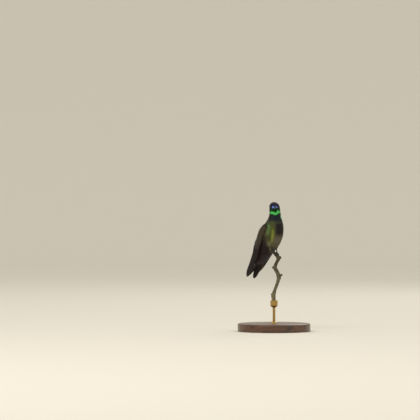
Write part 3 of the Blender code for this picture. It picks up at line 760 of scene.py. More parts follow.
def body_marks(place, angle, points):
    """Colour and metallic shine of the plumage on the head and body, each laid over the ones before. On the
    breast and the gorget these colours hold painted highlights and painted shade.
    """
    a = np.degrees(np.mod(angle, 2 * np.pi))
    place = np.asarray(place, float)
    head = in_head_frame(points)
    colour = np.broadcast_to(BELLY, (*place.shape, 3))
    shine = np.full(place.shape, 0.06)

    def paint(tint, share, gloss=0.0):
        nonlocal colour, shine
        colour = mixed(colour, tint, share)
        shine = np.maximum(shine, gloss * share)

    # belly and flanks, grey-brown; paler along the middle; dusky under the tail
    paint(BELLY_PALE, hump(a, 134, 26) * hump(place, 5.2, 1.4))
    paint(BREAST_GREY, hump(a, 96, 50) * hump(place, 6.2, 1.3))
    paint(FLANK, smooth(140, 158, a) * smooth(7.0, 5.8, place))
    border = np.interp(a, (60, 110, 124, 138, 156, 186), (3.6, 3.9, 4.5, 5.0, 5.3, 5.4))
    paint(VENT, smooth(border + 0.6, border - 0.6, place) * smooth(4, 66, a))
    # the breast, its real colours with painted light over them: green to the bird's right, olive with a
    # gold highlight in the middle, blackish to its left in painted shade
    paint(THROAT_OLIVE, smooth(6.6, 7.6, place))
    olive = hump(a, 133, 30) * smooth(5.0, 6.4, place) * smooth(9.4, 8.6, place)
    # Green to the bird's right: the breast's real green side with a painted sheen on it.
    green_and_sheen = hump(a, 158, 22) * smooth(6.4, 7.1, place) * smooth(8.5, 7.9, place)
    # The gold streak down the middle is a painted highlight, the glint of the iridescent breast, at these
    # angles round it.
    glint_angle = np.interp(place, (5.2, 6.5, 7.9), (118, 124, 130))
    breast_glint = hump(a, glint_angle, 13) * smooth(5.2, 6.2, place) * smooth(8.0, 7.0, place)
    paint(BREAST_OLIVE, np.clip(1.5 * olive, 0, 1))
    paint(BREAST_GREEN_AND_SHEEN, np.clip(1.5 * green_and_sheen, 0, 1))
    paint(BREAST_GLINT, 0.9 * breast_glint)
    # Blackish to its left, and dull on that side: the breast's real dark middle and green side with painted
    # shade over them.
    left = smooth(120, 98, a) * smooth(36, 66, a)
    paint(BREAST_BLACK_AND_SHADE, left * smooth(6.3, 7.3, place) * smooth(9.1, 8.3, place))
    paint(BREAST_SIDE_IN_SHADE, smooth(62, 30, a) * smooth(6.2, 7.4, place))
    shine = shine + 0.35 * np.clip(green_and_sheen + breast_glint + 0.5 * olive, 0, 1)
    # bib, then head: blackish face and bronze-green nape
    bib = smooth(8.75, 9.2, place) * smooth(12, 30, a) * smooth(176, 158, a)
    paint(mixed(BIB_SIDE, BIB, hump(a, 105, 60)), bib, 0.3)
    paint(FACE_BLACK, smooth(10.4, 11.0, place))
    behind = smooth(186, 214, a) * smooth(366, 345, a)
    paint(BACK_GREEN, behind, 0.45)
    paint(RUMP_GREEN, smooth(3.6, 2.4, place) * behind)
    # the gorget: dark green where no light is painted on it, with a painted reflection, a bright band that
    # dips in the middle and hooks up at its ends
    low, high = read_off(GLINT_LOW, a), read_off(GLINT_HIGH, a)
    ends = smooth(6, 18, a) * smooth(176, 164, a)
    paint(GORGET_DARK, smooth(low - 0.3, low, place) * smooth(12.5, 12.2, place) * ends, 0.5)
    gorget_glint = smooth(low - 0.06, low + 0.1, place) * smooth(high + 0.06, high - 0.1, place)
    paint(GORGET_GLINT, gorget_glint * ends, 0.8)
    spot = hump(place, 9.85, 0.85) * hump(np.mod(a + 180, 360), 209, 24)
    paint(NECK_SPOT, np.clip(spot * 1.4, 0, 1))
    shine = np.maximum(shine, 0.5 * spot)
    # the crown: two bright patches over the bill, blackish violet round them, bronze on top and behind
    bronze = np.maximum(smooth(-3.6, -0.6, head[..., 1]), smooth(5.2, 6.3, head[..., 2]))
    crown = smooth(0.9, 2.8, head[..., 2] + 0.1 * head[..., 1])
    paint(mixed(VIOLET_DARK, CROWN_BRONZE, bronze), crown, 0.4)
    patch = hump(np.abs(head[..., 0] + 0.2), 1.8, 1.7) * hump(head[..., 2], 1.5, 1.75)
    patch = patch * smooth(-2.6, -3.8, head[..., 1])
    paint(VIOLET, smooth(0.05, 0.35, patch))
    paint(VIOLET_BRIGHT, smooth(0.2, 0.75, patch), 0.75)
    white = np.hypot((head[..., 1] + 0.75) / 1.5, head[..., 2] - 1.5)
    paint(SPOT_WHITE, smooth(0.8, 0.55, white) * (np.abs(head[..., 0]) > 3.6))
    return colour, np.clip(shine, 0, 1)


def wing_marks(s, g):
    """Bronze-brown coverts, greener by the back and darker towards the flight feathers."""
    colour = mixed(linear(66, 53, 41), linear(54, 49, 34), smooth(0.06, 0.18, s))
    colour = mixed(colour, linear(48, 41, 36), smooth(0.22, 0.34, s))
    colour = mixed(colour, linear(56, 62, 36), smooth(0.9, 1.5, g) * smooth(0.34, 0.2, s))
    return colour, 0.3 - 0.15 * smooth(0.1, 0.3, s)


def marks_at(kind, along, turn, points):
    colour, shine = body_marks(along, turn, points)
    on_wing, wing_shine = wing_marks(along, across_wing(turn))
    wing = kind != 0
    return np.where(wing[..., None], on_wing, colour), np.where(wing, wing_shine, shine)


# ---------------------------------------------------------------- feathers

# Half width of a feather by the place along it, from root to tip.
LONG_FORM = ((0.0, 0.3), (0.18, 0.66), (0.38, 0.9), (0.6, 1.0), (0.78, 0.98), (0.9, 0.9), (1.0, 0.7))
ROUND_FORM = ((0.0, 0.4), (0.35, 0.9), (0.7, 1.0), (0.88, 0.92), (1.0, 0.68))


def feather_template(form, columns, arch):
    """Points of one feather as (across, along, column, top), and its faces. The underside is one ridge."""
    points = []
    for along, half in form:
        for column, u in enumerate(np.linspace(-1, 1, columns)):
            points.append((u * half, along * (1 - arch * u * u), column, 1))
        points.append((0.0, along, columns // 2, 0))
    ring = columns + 1
    faces = grid_faces(len(form), ring)
    last = (len(form) - 1) * ring
    roots = np.array([[k + 1, k, columns] for k in range(columns - 1)])
    tips = np.array([[last + k, last + k + 1, last + columns] for k in range(columns - 1)])
    return np.array(points), faces, np.concatenate((roots, tips))


TEMPLATES = {"long": feather_template(LONG_FORM, 7, 0.22), "round": feather_template(ROUND_FORM, 5, 0.36)}
BARB_GAP = 0.21  # between barbs, larger than life so that they show


def feathers(form, roots, ways, sizes, surface, marks, uv, pale):
    """Many feathers laid over a surface, ragged at their tips.

    sizes are length, width, lift and floor of each; marks are colours and shine of each.
    """
    template, quads, tris = TEMPLATES[form]
    count, per = len(roots), len(template)
    length, width, lift, floor = (size[:, None] for size in sizes)
    across, along, column, top = template.T
    column = column.astype(int)
    ragged = 1 + 0.14 * (RNG.random((count, column.max() + 1)) - 0.6)[:, column] * smooth(0.5, 1, along)
    normal = np.array([surface.find_nearest(Vector(p))[1] for p in roots])
    ways = unit(ways - normal * np.sum(ways * normal, -1, keepdims=True))
    bow = 0.12 * (RNG.random((count, 1)) - 0.5)  # each curves a little to one side
    ahead, aside = length * along * ragged, 0.5 * width * across + bow * length * along**2
    sides = np.cross(normal, ways)
    flat = roots[:, None] + ways[:, None] * ahead[..., None] + sides[:, None] * aside[..., None]
    height = floor + lift * along + 0.05 * width * (1 - across**2) - (0.04 + 0.07 * width) * (1 - top)
    co = np.empty_like(flat)
    for at in np.ndindex(count, per):
        place, out, _, _ = surface.find_nearest(Vector(flat[at]))
        co[at] = place + out * height[at]
    base, shine = marks
    wobble = 1 + 0.22 * (RNG.random((count, 1)) - 0.5)
    # Darker towards the root, partly the feather's own darker base and partly painted shade where it lies
    # under the one before, and a little darker towards its sides.
    shade = (0.55 + 0.45 * np.clip(along * 1.5, 0, 1)) * (0.82 + 0.18 * (1 - np.abs(across)))
    colour = (base * wobble)[:, None] * shade[:, None]
    rim = smooth(0.8, 1.0, along) * smooth(0.0, 0.5, top)
    colour = mixed(colour, np.minimum(colour * 1.45 + 0.012, 1.0), pale[:, None] * rim)
    rgba = np.concatenate((colour, np.broadcast_to(shine[:, None, None], (count, per, 1))), -1)
    patch = uv[:, None] + np.stack((across, along - 0.5), -1) * 0.0015
    run = (length * along - 0.6 * width * np.abs(across)) / BARB_GAP
    barbs = np.stack(np.broadcast_arrays(run, np.abs(across), wobble), -1)
    quads, tris = outward(co[0], quads, tris)
    offset = (np.arange(count) * per)[:, None, None]
    shape = (co.reshape(-1, 3), (quads + offset).reshape(-1, 4), (tris + offset).reshape(-1, 3))
    traits = {"colours": rgba.reshape(-1, 4), "uv": patch.reshape(-1, 2), "barbs": barbs.reshape(-1, 3)}
    return [shape], traits


# By place along the spine: how far apart the feathers are, and how long and wide they are.
SPACING = ((0, 0.8), (2, 0.85), (4, 0.82), (7, 0.76), (9, 0.62), (10.5, 0.5),
           (12, 0.42), (14, 0.42), (16, 0.44))
LENGTH = ((0, 8.4), (1.5, 7.2), (3, 5.6), (5, 4.7), (7, 4.1), (9, 2.7),
          (10.5, 1.75), (12, 1.35), (16, 1.45))
WIDTH = ((0, 2.7), (3, 2.3), (7, 2.0), (9, 1.5), (10.5, 1.15), (12, 0.86), (16, 0.92))


def lie(roots, place, angle):
    """The way that the feathers point: tailwards on the body, away from the bill on the head."""
    tailward = unit(world(body_point(place - 0.05, angle)) - world(body_point(place + 0.05, angle)))
    from_bill, to_nape = roots - BILL_BASE, NAPE_SINK - roots
    near = np.linalg.norm(from_bill, axis=-1, keepdims=True)
    far = np.linalg.norm(to_nape, axis=-1, keepdims=True)
    field = unit(from_bill / near**2 + to_nape / far**2)
    return unit(mixed(tailward, field, smooth(9.2, 11.2, place)))


def growth(kind, along, turn, points):
    """The way, length, width, spacing, floor and lift of the feathers at points of the skin."""
    place = np.clip(along, 0.06, LAST - 0.06)
    depth = read_off(COAT, place)
    flank = hump(np.degrees(turn), 184, 34) * smooth(0, 1, place) * smooth(8.4, 7.4, place)
    way, small = lie(points, place, turn), np.ones(len(points))
    for word in HIPS_AT:  # the thighs' feathers are small and turn down the leg
        hip, *_, sole = leg_frame(word)
        down = unit(sole - hip)
        away = points - GRIP - hip
        run = np.clip(away @ down, 0, np.linalg.norm(sole - hip))
        free = smooth(1.8, 3.8, np.linalg.norm(away - run[:, None] * down, axis=1))
        way, small = unit(mixed(0.5 * down + way, way, free)), np.minimum(small, 0.45 + 0.55 * free)
    rows = np.column_stack((
        way,
        small * read_off(LENGTH, place),
        np.sqrt(small) * read_off(WIDTH, place),
        np.sqrt(small) * read_off(SPACING, place),
        0.4 * depth * small,
        0.5 * depth * small + 0.6 * flank,
    ))
    for side in SIDES:
        on = kind == side
        s, g = along[on], across_wing(turn[on])
        way = mirrored(wing_point(s + 0.02, g, side) - wing_point(s - 0.02, g, side), side)
        inner = turn[on] > np.pi
        short = 1 - 0.45 * np.where(inner, 1, smooth(1.3, 1.9, g))
        rows[on] = np.column_stack((
            unit(turned_about_z(way, BODY_TURN)),
            (1.5 + 0.9 * smooth(0.0, 0.08, s) + 14 * s) * short,
            1.4 + 5.4 * s,
            0.7 + 1.6 * s,
            np.where(inner, 0.02, 0.1),
            np.where(inner, 0.12, 0.1 + 0.24 * smooth(0.0, 0.05, s)),
        ))
    return rows


GROWTH_ROUNDS, TRIES = 48, 6  # how often growth is evened out; how many places are tried for each feather


def settled(values, tris, rounds):
    """Values at a mesh's points, evened out between neighbours."""
    a, b = np.concatenate((tris[:, :2], tris[:, 1:], tris[:, ::2])).T
    size = len(values)
    degree = np.maximum(np.bincount(a, minlength=size) + np.bincount(b, minlength=size), 1)
    for _ in range(rounds):
        total = [np.bincount(a, v[b], size) + np.bincount(b, v[a], size) for v in values.T]
        values = 0.5 * values + 0.5 * np.stack(total, -1) / degree[:, None]
    return values


def scattered(co, tris, spacing):
    """Points spread evenly over a mesh, each its own spacing from the others: triangles and weights."""
    corners = co[tris]
    sides = corners[:, 1:] - corners[:, :1]
    area = 0.5 * np.linalg.norm(np.cross(sides[:, 0], sides[:, 1]), axis=1)
    gap = spacing[tris].mean(1)
    chance = area / gap**2
    pick = RNG.choice(len(tris), int(TRIES * chance.sum()), p=chance / chance.sum())
    weights = RNG.dirichlet((1, 1, 1), len(pick))
    points = np.einsum("ij,ijk->ik", weights, corners[pick])
    tree = KDTree(len(points))
    for i, p in enumerate(points):
        tree.insert(p, i)
    tree.balance()
    free = np.ones(len(points), bool)
    chosen = []
    for i, p in enumerate(points):
        if free[i]:
            chosen.append(i)
            for _, j, _ in tree.find_range(p, gap[pick[i]]):
                free[j] = False
    return pick[chosen], weights[chosen]


def build_skin():
    """The one skin under the coat. Gives its points, triangles, traits and lofts, and the coat's guide."""
    rings, place, angle = skin_rings(np.linspace(SKIN_START, LAST, BODY_ROWS))
    lofts = [closed_loft(rings, 0, place, angle)]
    for side in SIDES:
        rings, s, turn = arm_rings(side)
        lofts.append(closed_loft(rings, side, s, turn))
    shapes = [shape for shape, _ in lofts] + [capped(thigh_rings(word)) for word in HIPS_AT]
    co, tris = one_flesh(shapes, [lid_ring(side) for side in SIDES])
    kind, along, turn = place_on(lofts, co)
    marks, shine = marks_at(kind, along, turn, co)
    for side in SIDES:
        depth, across, _ = from_eye(co, side)
        marks = mixed(marks, LID_DARK / DOWN_DARK, smooth(2.1, 1.8, across) * (depth > 0))
    turns = turn[tris]
    turns = turns + 2 * np.pi * ((turns.max(1, keepdims=True) - turns) > np.pi)
    uv = skin_uv(kind[tris], along[tris], turns).reshape(-1, 2)
    colours = np.column_stack((marks * DOWN_DARK, DOWN_SHINE * shine))
    flesh = ("head", "neck", "breast", "belly", "tail_coverts", "wing_left_arm", "wing_right_arm")
    piece("skin", [(co, tris)], "down", "belly_feathers", *flesh, colours=colours, uv=uv)
    rump = skin_rings(np.linspace(0.1, SKIN_START, 5))[0]
    over_wings = [capped(arm_rings(side, 0.32, 0.54)[0]) for side in SIDES]
    guide, guide_tris = one_flesh([*shapes, capped(np.concatenate((tail_rings(), rump))), *over_wings])
    tree = BVHTree.FromPolygons([Vector(p) for p in guide], guide_tris.tolist())
    return co, tris, (kind, along, turn), lofts, tree


def clear_of_face(roots, ways, length):
    """Which feathers stay, and how long each may be: none lies over an eye or in the bill."""
    keep = np.ones(len(roots), bool)
    rim = LID_OPEN + EYE_CLEAR
    for side in SIDES:
        along, across, flat = from_eye(roots, side)
        keep &= ~((across < rim) & (along > -1))
        toward = -np.sum(flat * ways, 1) / np.maximum(across, 1e-6)
        closest = across * np.sqrt(np.clip(1 - toward**2, 0, 1))
        heading = (toward > 0.2) & (closest < rim) & (along > -1) & (across < 4)
        length = np.where(heading, np.clip(across - rim + 0.12, 0.35, length), length)
    head = in_head_frame(roots)
    off = np.hypot(head[:, 0] / 1.5, (head[:, 2] + BILL_DROP) / 1.45)
    return keep & ~((off < 1) & (head[:, 1] < -4)), length


# The coat's pieces on the body, from the crown down: where each ends along the spine, and its feathers.
REGIONS = (
    ("feathers_crown", 12.7, "round", "gloss", "crown_feathers"),
    ("feathers_face", 11.2, "round", "gloss", "gorget_feathers"),
    ("feathers_throat", 9.0, "round", "gloss", "gorget_feathers"),
    ("feathers_breast", 6.8, "long", "gloss", "breast_feathers"),
    ("feathers_belly", 3.9, "long", "soft", "belly_feathers"),
    ("feathers_tail_coverts", -np.inf, "long", "soft", "covert_feathers"),
)


def build_coat(co, tris, traits, lofts, guide):
    """Feathers spread over the whole skin, cut into pieces. traits are as place_on gives them."""
    grown = settled(growth(*traits, co), tris, GROWTH_ROUNDS)
    face, weights = scattered(co, tris, grown[:, 5])
    corners = tris[face]
    roots = np.einsum("ij,ijk->ik", weights, co[corners])
    ways, length, width, _, floor, lift = np.split(
        np.einsum("ij,ijk->ik", weights, grown[corners]), (3, 4, 5, 6, 7), axis=1
    )
    ways = unit(unit(ways) + 0.07 * RNG.standard_normal(ways.shape))
    length, width, floor, lift = (v[:, 0] for v in (length, width, floor, lift))
    length = length * (0.85 + 0.3 * RNG.random(len(roots)))
    full = length
    kind, along, turn = place_on(lofts, roots)
    keep, length = clear_of_face(roots, ways, length)
    body = kind == 0
    keep &= np.where(body, along > SKIN_START + NO_CAP, along < 0.35)
    lift = lift * np.clip(length / full, 0.4, 1)
    seen = roots + ways * (0.6 * length * np.where(body, smooth(1.0, 3.5, along), 1))[:, None]
    marks, shine = marks_at(*place_on(lofts, seen), seen)
    uv = skin_uv(kind, along, turn)
    pale = np.where(body, np.where((along > 3.9) & (along < 6), 0.6, 0.2), 0.8)
    regions, last = [], np.inf
    for name, first, *finish in REGIONS:
        regions.append((body & (along >= first) & (along < last), name, *finish))
        last = first
    for side, word in SIDES.items():
        regions.append((kind == side, f"wing_coverts_{word}", "long", "soft", "covert_feathers"))
    for chosen, name, form, look, slot in regions:
        pick = keep & chosen
        sizes = (length[pick], width[pick], lift[pick], floor[pick])
        colours = (marks[pick], shine[pick])
        parts, made = feathers(form, roots[pick], ways[pick], sizes, guide, colours, uv[pick], pale[pick])
        piece(name, parts, look, slot, **made)


# ---------------------------------------------------------------- flight feathers


VANE_COLUMNS, VANE_THICK = 9, 0.1


def vane(centre, normal, left, right, curl):
    """One flight feather along its shaft: a closed thin blade. left and right are its half widths.

    Also gives, at each point, the place across and along it and whether it is on top, and its barbs.
    """
    along = unit(np.gradient(centre, axis=0))
    side = unit(np.cross(normal, along))
    u = np.linspace(-1, 1, VANE_COLUMNS)
    rows = len(centre)
    half = np.where(u[None] < 0, left[:, None], right[:, None])
    drop = curl * u**2 * np.minimum(half, 2.5) / 2.5
    shaft = bell(u * half, 0.2) * np.linspace(0.16, 0.04, rows)[:, None]
    out = centre[:, None] + side[:, None] * (u * half)[..., None]
    top = out + normal[:, None] * (shaft - drop)[..., None]
    low = out - normal[:, None] * (VANE_THICK + drop + 0.6 * shaft)[..., None]
    co, quads, ends = capped(np.concatenate((top, low[:, ::-1]), 1))
    run = np.concatenate(([0], np.cumsum(np.linalg.norm(np.diff(centre, axis=0), axis=1))))
    across = np.tile(np.concatenate((u, u[::-1])), rows)
    upper = np.tile(np.repeat((1.0, 0.0), VANE_COLUMNS), rows)
    run = np.repeat(run, 2 * VANE_COLUMNS)
    width = np.concatenate((half, half[:, ::-1]), 1).ravel()
    phase = (run - 1.3 * np.abs(across) * width) / (2 * BARB_GAP)
    local = with_ends(np.column_stack((across, run / run[-1], upper)))
    return (co, quads, ends), local, with_ends(np.column_stack((phase, np.abs(across), upper)))


def vane_colours(local, top, under, left_edge, right_edge, share, shine):
    """The web's colour above and below, with a dark shaft and its two edges tinged."""
    across, along, upper = local.T
    colour = mixed(np.broadcast_to(under, (len(local), 3)), top, upper)
    colour = mixed(colour, colour * 0.4, bell(across, 0.12))
    colour = mixed(colour, left_edge, share * smooth(-0.55, -1.0, across))
    colour = mixed(colour, right_edge, share * smooth(0.55, 1.0, across))
    colour = mixed(colour, colour * 0.6, smooth(0.4, 0.95, along))
    return np.concatenate((colour, np.full((len(local), 1), shine)), 1)


def tapered(t, width, root=0.5, full=0.25, blunt=0.12):
    """Half width along a feather: narrow root, full vane, round tip."""
    grow = root + (1 - root) * smooth(0, full, t)
    tip = np.sqrt(np.clip(1 - ((t - (1 - blunt)) / blunt).clip(0, 1) ** 2, 0.004, 1))
    return width * grow * tip


def blade_of(centre, normal, widths, looks, corner, side=1, curl=0.25):
    """A flight feather's shape, colours, place in the map from its corner there, and barbs."""
    (co, *faces), local, barbs = vane(centre, normal, *widths, curl)
    uv = np.array(corner) + (local[:, :2] - 0.5) * 0.003
    return (world(mirrored(co, side)), *faces), vane_colours(local, *looks), uv, barbs


def blades_piece(name, blades, slot, *nodes):
    parts, *traits = zip(*blades)
    colours, uv, barbs = map(np.concatenate, traits)
    piece(name, parts, "vane", slot, *nodes, colours=colours, uv=uv, sharp=55, barbs=barbs)


VANE_ROWS = 34
# By place along the wing: where the blades are drawn from, and where their roots would be.
PRIMARIES_FROM, PRIMARIES_ROOT = 0.29, 0.12
SECONDARIES_FROM, SECONDARIES_ROOT, SECONDARIES = 0.27, 0.18, 8
DUSK, DUSK_EDGE, OLIVE_EDGE = linear(27, 15, 15), linear(40, 31, 27), linear(138, 131, 94)


def build_wing(side, word):
    blades = []

    def chord(s):
        return np.linalg.norm(edge(WING_FOLD, s, side) - edge(WING_FRONT, s, side), axis=-1)

    def add(s, g, lift, widths, top, edges, share, shine):
        """widths and edges are given towards the front of the wing, then towards its back."""
        normal = wing_normal(s, g, side)
        centre = wing_point(s, g, side) + normal * lift
        corner = ((0.02 if side > 0 else 0.36) + 0.15 * g[0], 0.87 + 0.2 * s[0])
        looks = (top, top * 1.15, *edges, share, shine)
        blades.append(blade_of(centre, normal, widths, looks, corner, side))

    t = np.linspace(0, 1, VANE_ROWS)
    for k, tip in enumerate(PRIMARY_TIPS):  # from the outermost, which lies lowest
        s = PRIMARIES_FROM + (tip - PRIMARIES_FROM) * t
        run = (s - PRIMARIES_ROOT) / (tip - PRIMARIES_ROOT)
        root_g, tip_g = 0.09 + 0.086 * k, max(0.5, 1 - 1.2 / chord(tip))
        g = root_g + (tip_g - root_g) * run**1.5
        if k == 0:
            g = np.minimum(0.5, 1.0 / chord(s))
        to_fold = np.linalg.norm(wing_point(s, np.minimum(g, 1), side) - edge(WING_FOLD, s, side), axis=-1)
        blunt = 0.05 if k < 2 else 0.11
        wide = 0.45 + 0.55 * smooth(PRIMARIES_FROM, 0.42, s)
        ahead = wide * tapered(run, 1.1 + 0.04 * k, 0.7, 0.2, blunt)
        if k == 0:
            ahead = ahead + 1.2 * hump(s, 0.6, 0.32)
        behind = np.minimum(wide * tapered(run, 3.3, 0.6, 0.2, blunt), 0.25 + to_fold)
        lift = mixed(-0.8, -0.62 + 0.062 * k, smooth(0.3, 0.44, s))
        edges = (DUSK_EDGE, OLIVE_EDGE if k > 4 else DUSK_EDGE)
        add(s, g, lift, (ahead, behind), DUSK * (1 + 0.07 * (k % 3)), edges, 0.75, 0.1)
    for k in range(SECONDARIES):  # each over the one before it
        share = k / (SECONDARIES - 1)
        tip = 0.565 - 0.10 * share**1.5
        s = SECONDARIES_FROM + (tip - SECONDARIES_FROM) * t
        run = (s - SECONDARIES_ROOT) / (tip - SECONDARIES_ROOT)
        g = 0.98 + 0.86 * share + (0.06 - 0.2 * share) * run
        wide = 0.45 + 0.55 * smooth(SECONDARIES_FROM, 0.38, s)
        widths = [wide * tapered(run, width, blunt=0.16) for width in (2.4, 1.7)]
        lift = mixed(-0.85, -0.1 + 0.05 * k, smooth(0.3, 0.47, s))
        brown = mixed(linear(40, 33, 31), linear(50, 48, 33), share)
        add(s, g, lift, widths, brown, (DUSK_EDGE, mixed(OLIVE_EDGE, DUSK_EDGE, share)), 0.7, 0.15)
    names = (f"wing_{word}_primaries", f"wing_{word}_secondaries")
    blades_piece(f"flight_feathers_{word}", blades, "flight_feathers", *names)


def tail_point(a, b, lift):
    """The tail's own surface: along it from its base, out from its middle, and up from it.

    Its end is rolled a little, the bird's right side up, and moved a little to that side.
    """
    share = np.clip((np.asarray(a, float) - TAIL_COVERED) / TAIL_SHOWN, 0, 1.1)
    lift = lift - b * math.tan(TAIL_TWIST) * share
    b = b - np.where(np.asarray(b) > 0, TAIL_ASIDE[1], TAIL_ASIDE[-1]) * share**2
    down = np.array((0, math.sin(TAIL_LEAN), -math.cos(TAIL_LEAN)))
    up = np.array((0, math.cos(TAIL_LEAN), math.sin(TAIL_LEAN)))
    a, b, lift = (np.asarray(v, float)[..., None] for v in (a, b, lift))
    base = np.array((0, -TAIL_BASE[0], TAIL_BASE[1]))
    return base + down * a + np.array((1.0, 0, 0)) * b + up * (lift - np.abs(b) * math.tan(TAIL_ROOF))


RECTRIX_ROOT, RECTRIX_TIPS = 12, (37.8, 39.9, 41.8, 43.3, 44.4)  # tips from the middle pair outwards


def build_tail():
    t = np.linspace(0, 1, VANE_ROWS)
    up = np.array((0, math.cos(TAIL_LEAN), math.sin(TAIL_LEAN)))
    web = linear(44, 34, 35)
    for side, word in SIDES.items():
        normal = up * math.cos(TAIL_ROOF) + np.array((side * math.sin(TAIL_ROOF), 0, 0))
        normal = np.tile(normal, (VANE_ROWS, 1))
        blades = []
        for k, tip in enumerate(RECTRIX_TIPS):  # from the middle pair, which lies on top, to the outer pair
            a = RECTRIX_ROOT + (tip - RECTRIX_ROOT) * t
            out = 1.75 + 0.33 * k + (1.0 + 0.04 * k) * t**1.3 + 0.3 * (k / 4) * t**3
            centre = tail_point(a, side * out, 0.34 - 0.17 * k + 0 * t)
            inner = tapered(t, 2.9 - 0.12 * k, 0.6, 0.4, 0.13)
            outer = tapered(t, 3.1 - 0.22 * k, 0.6, 0.4, 0.16) + 0.5 * hump(a, 26, 10)
            rim = linear(104, 100, 54) if side > 0 and k == 4 else linear(56, 47, 42)
            bronze = mixed(linear(52, 56, 34), linear(44, 42, 40), k / 4)
            under = linear(24, 12, 16) * (1 + 0.1 * (k % 2))
            looks = (bronze, under, *(rim, web)[::side], 0.8, 0.2)
            corner = ((0.7 if side > 0 else 0.84) + 0.025 * k, 0.9)
            blades.append(blade_of(centre, normal, (outer, inner)[::side], looks, corner, curl=0.3))
        blades_piece(f"tail_feathers_{word}", blades, "tail_feathers", f"tail_{word}")


# ---------------------------------------------------------------- bill and eyes


def bill_rings(side, length):
    """Half of the bill from its root, flat where it meets the other. side 1 is the upper half."""
    along = -1.2 + (length + 1.2) * np.linspace(0, 1, 60)[:, None] ** 0.95
    run = np.maximum(along, 0) / BILL_LENGTH
    tall = (1.5 - 0.95 * run**0.7) if side > 0 else (1.15 - 0.7 * run**0.7)
    tip = np.sqrt(np.clip((length - along) / 1.6, 0.02, 1))
    half, tall = (1.45 - run**0.7) * tip, tall * (0.35 + 0.65 * tip)
    angle = np.linspace(0, np.pi, 25)
    x, z = np.cos(angle) * half, np.sin(angle) ** 0.9 * tall
    if side > 0:  # the nostrils' grooves, and a lip along the edge
        groove = bell(angle % np.pi - 0.62, 0.2) + bell(np.pi - angle - 0.62, 0.2)
        x = x * (1 - 0.16 * groove * bell(along - 2.6, 1.7)) * (1 + 0.03 * bell(z, 0.2))
    flat = np.cos(angle[-2:0:-1]) * half
    x, z = np.concatenate((x, 0.97 * flat), 1), np.concatenate((z, 0 * flat), 1)
    z = side * (0.02 + z) - 0.5 * run**2 - BILL_DROP
    return head_frame(np.stack(np.broadcast_arrays(x, BILL_ROOT - along, z), -1))


def build_bill():
    for side, word, short in ((1, "upper", 0.02), (-1, "lower", 0.9)):
        half = capped(bill_rings(side, BILL_LENGTH - short))
        piece(f"bill_{word}_horn", [half], "horn", "horn", f"bill_{word}", sharp=60)


def build_eyes():
    """Each eyeball is a little flattened, so that only the cornea stands past its lids."""
    polar = np.linspace(0, np.pi, 41)[1:-1, None, None]
    for side, word in SIDES.items():
        way = EYE_WAYS[side]
        disc = around_axis(*basis(way), circle(64)) * EYE_RADIUS
        ball = capped(EYES[side] + way * (EYE_DEPTH * np.cos(polar)) + disc * np.sin(polar))
        piece(f"eyeball_{word}", [ball], "eye", "eye", f"eye_{word}")


# ---------------------------------------------------------------- legs, twig and stand

GRIP_HEIGHTS = {"left": -2.9, "right": 1.2}
HIPS_AT = {"left": (4.4, 4.0, 7.2), "right": (-4.6, 4.4, 7.2)}
TOE_RADIUS, TOE_PITCH, TOE_FAN = 0.5, 1.3, 0.7
FRONT_ARC, HIND_ARC = (0.0, 150.0), (0.0, -118.0)
TWIG_AROUND, STUB_AROUND = 48, 28
BARK_LOW, BARK_HIGH, BARK_CUT = linear(112, 104, 74), linear(72, 62, 45), linear(40, 32, 24)


def twig_at(height):
    rows = sorted((z, x, y, z, r) for x, y, z, r in TWIG)
    got = through(rows, height)
    return got[..., :3], got[..., 3]


def tube_rings(points, radii, around):
    """Rings round a line of points, with no twist."""
    points = np.asarray(points, float)
    along = unit(np.gradient(points, axis=0))
    rings = []
    a = unit(np.cross(along[0], (0.3, 0.5, 0.81)))
    for p, way, radius in zip(points, along, radii):
        a = unit(a - way * np.dot(a, way))
        rings.append(p + around_axis(a, np.cross(way, a), circle(around)) * radius)
    return np.array(rings)


def tube(points, radii, around):
    return capped(tube_rings(GRIP + points, radii, around))


def leg_frame(word):
    """The hip, the twig's middle and way at the grip, up and front from it, the toes' ring and the sole."""
    hip = turned_about_z(np.array(HIPS_AT[word]), BODY_TURN)
    centre, radius = twig_at(GRIP_HEIGHTS[word])
    along = unit(twig_at(GRIP_HEIGHTS[word] - 1)[0] - twig_at(GRIP_HEIGHTS[word] + 1)[0])
    toward = (hip - centre) * 0.35 + np.array((0, 0, 6.0))
    up = unit(toward - along * np.dot(along, toward))
    front = unit(np.cross(along, up))
    front = front if front[1] < 0 else -front
    ring = radius + 0.08 + TOE_RADIUS
    return hip, centre, along, up, front, ring, centre + up * (ring + 0.25)


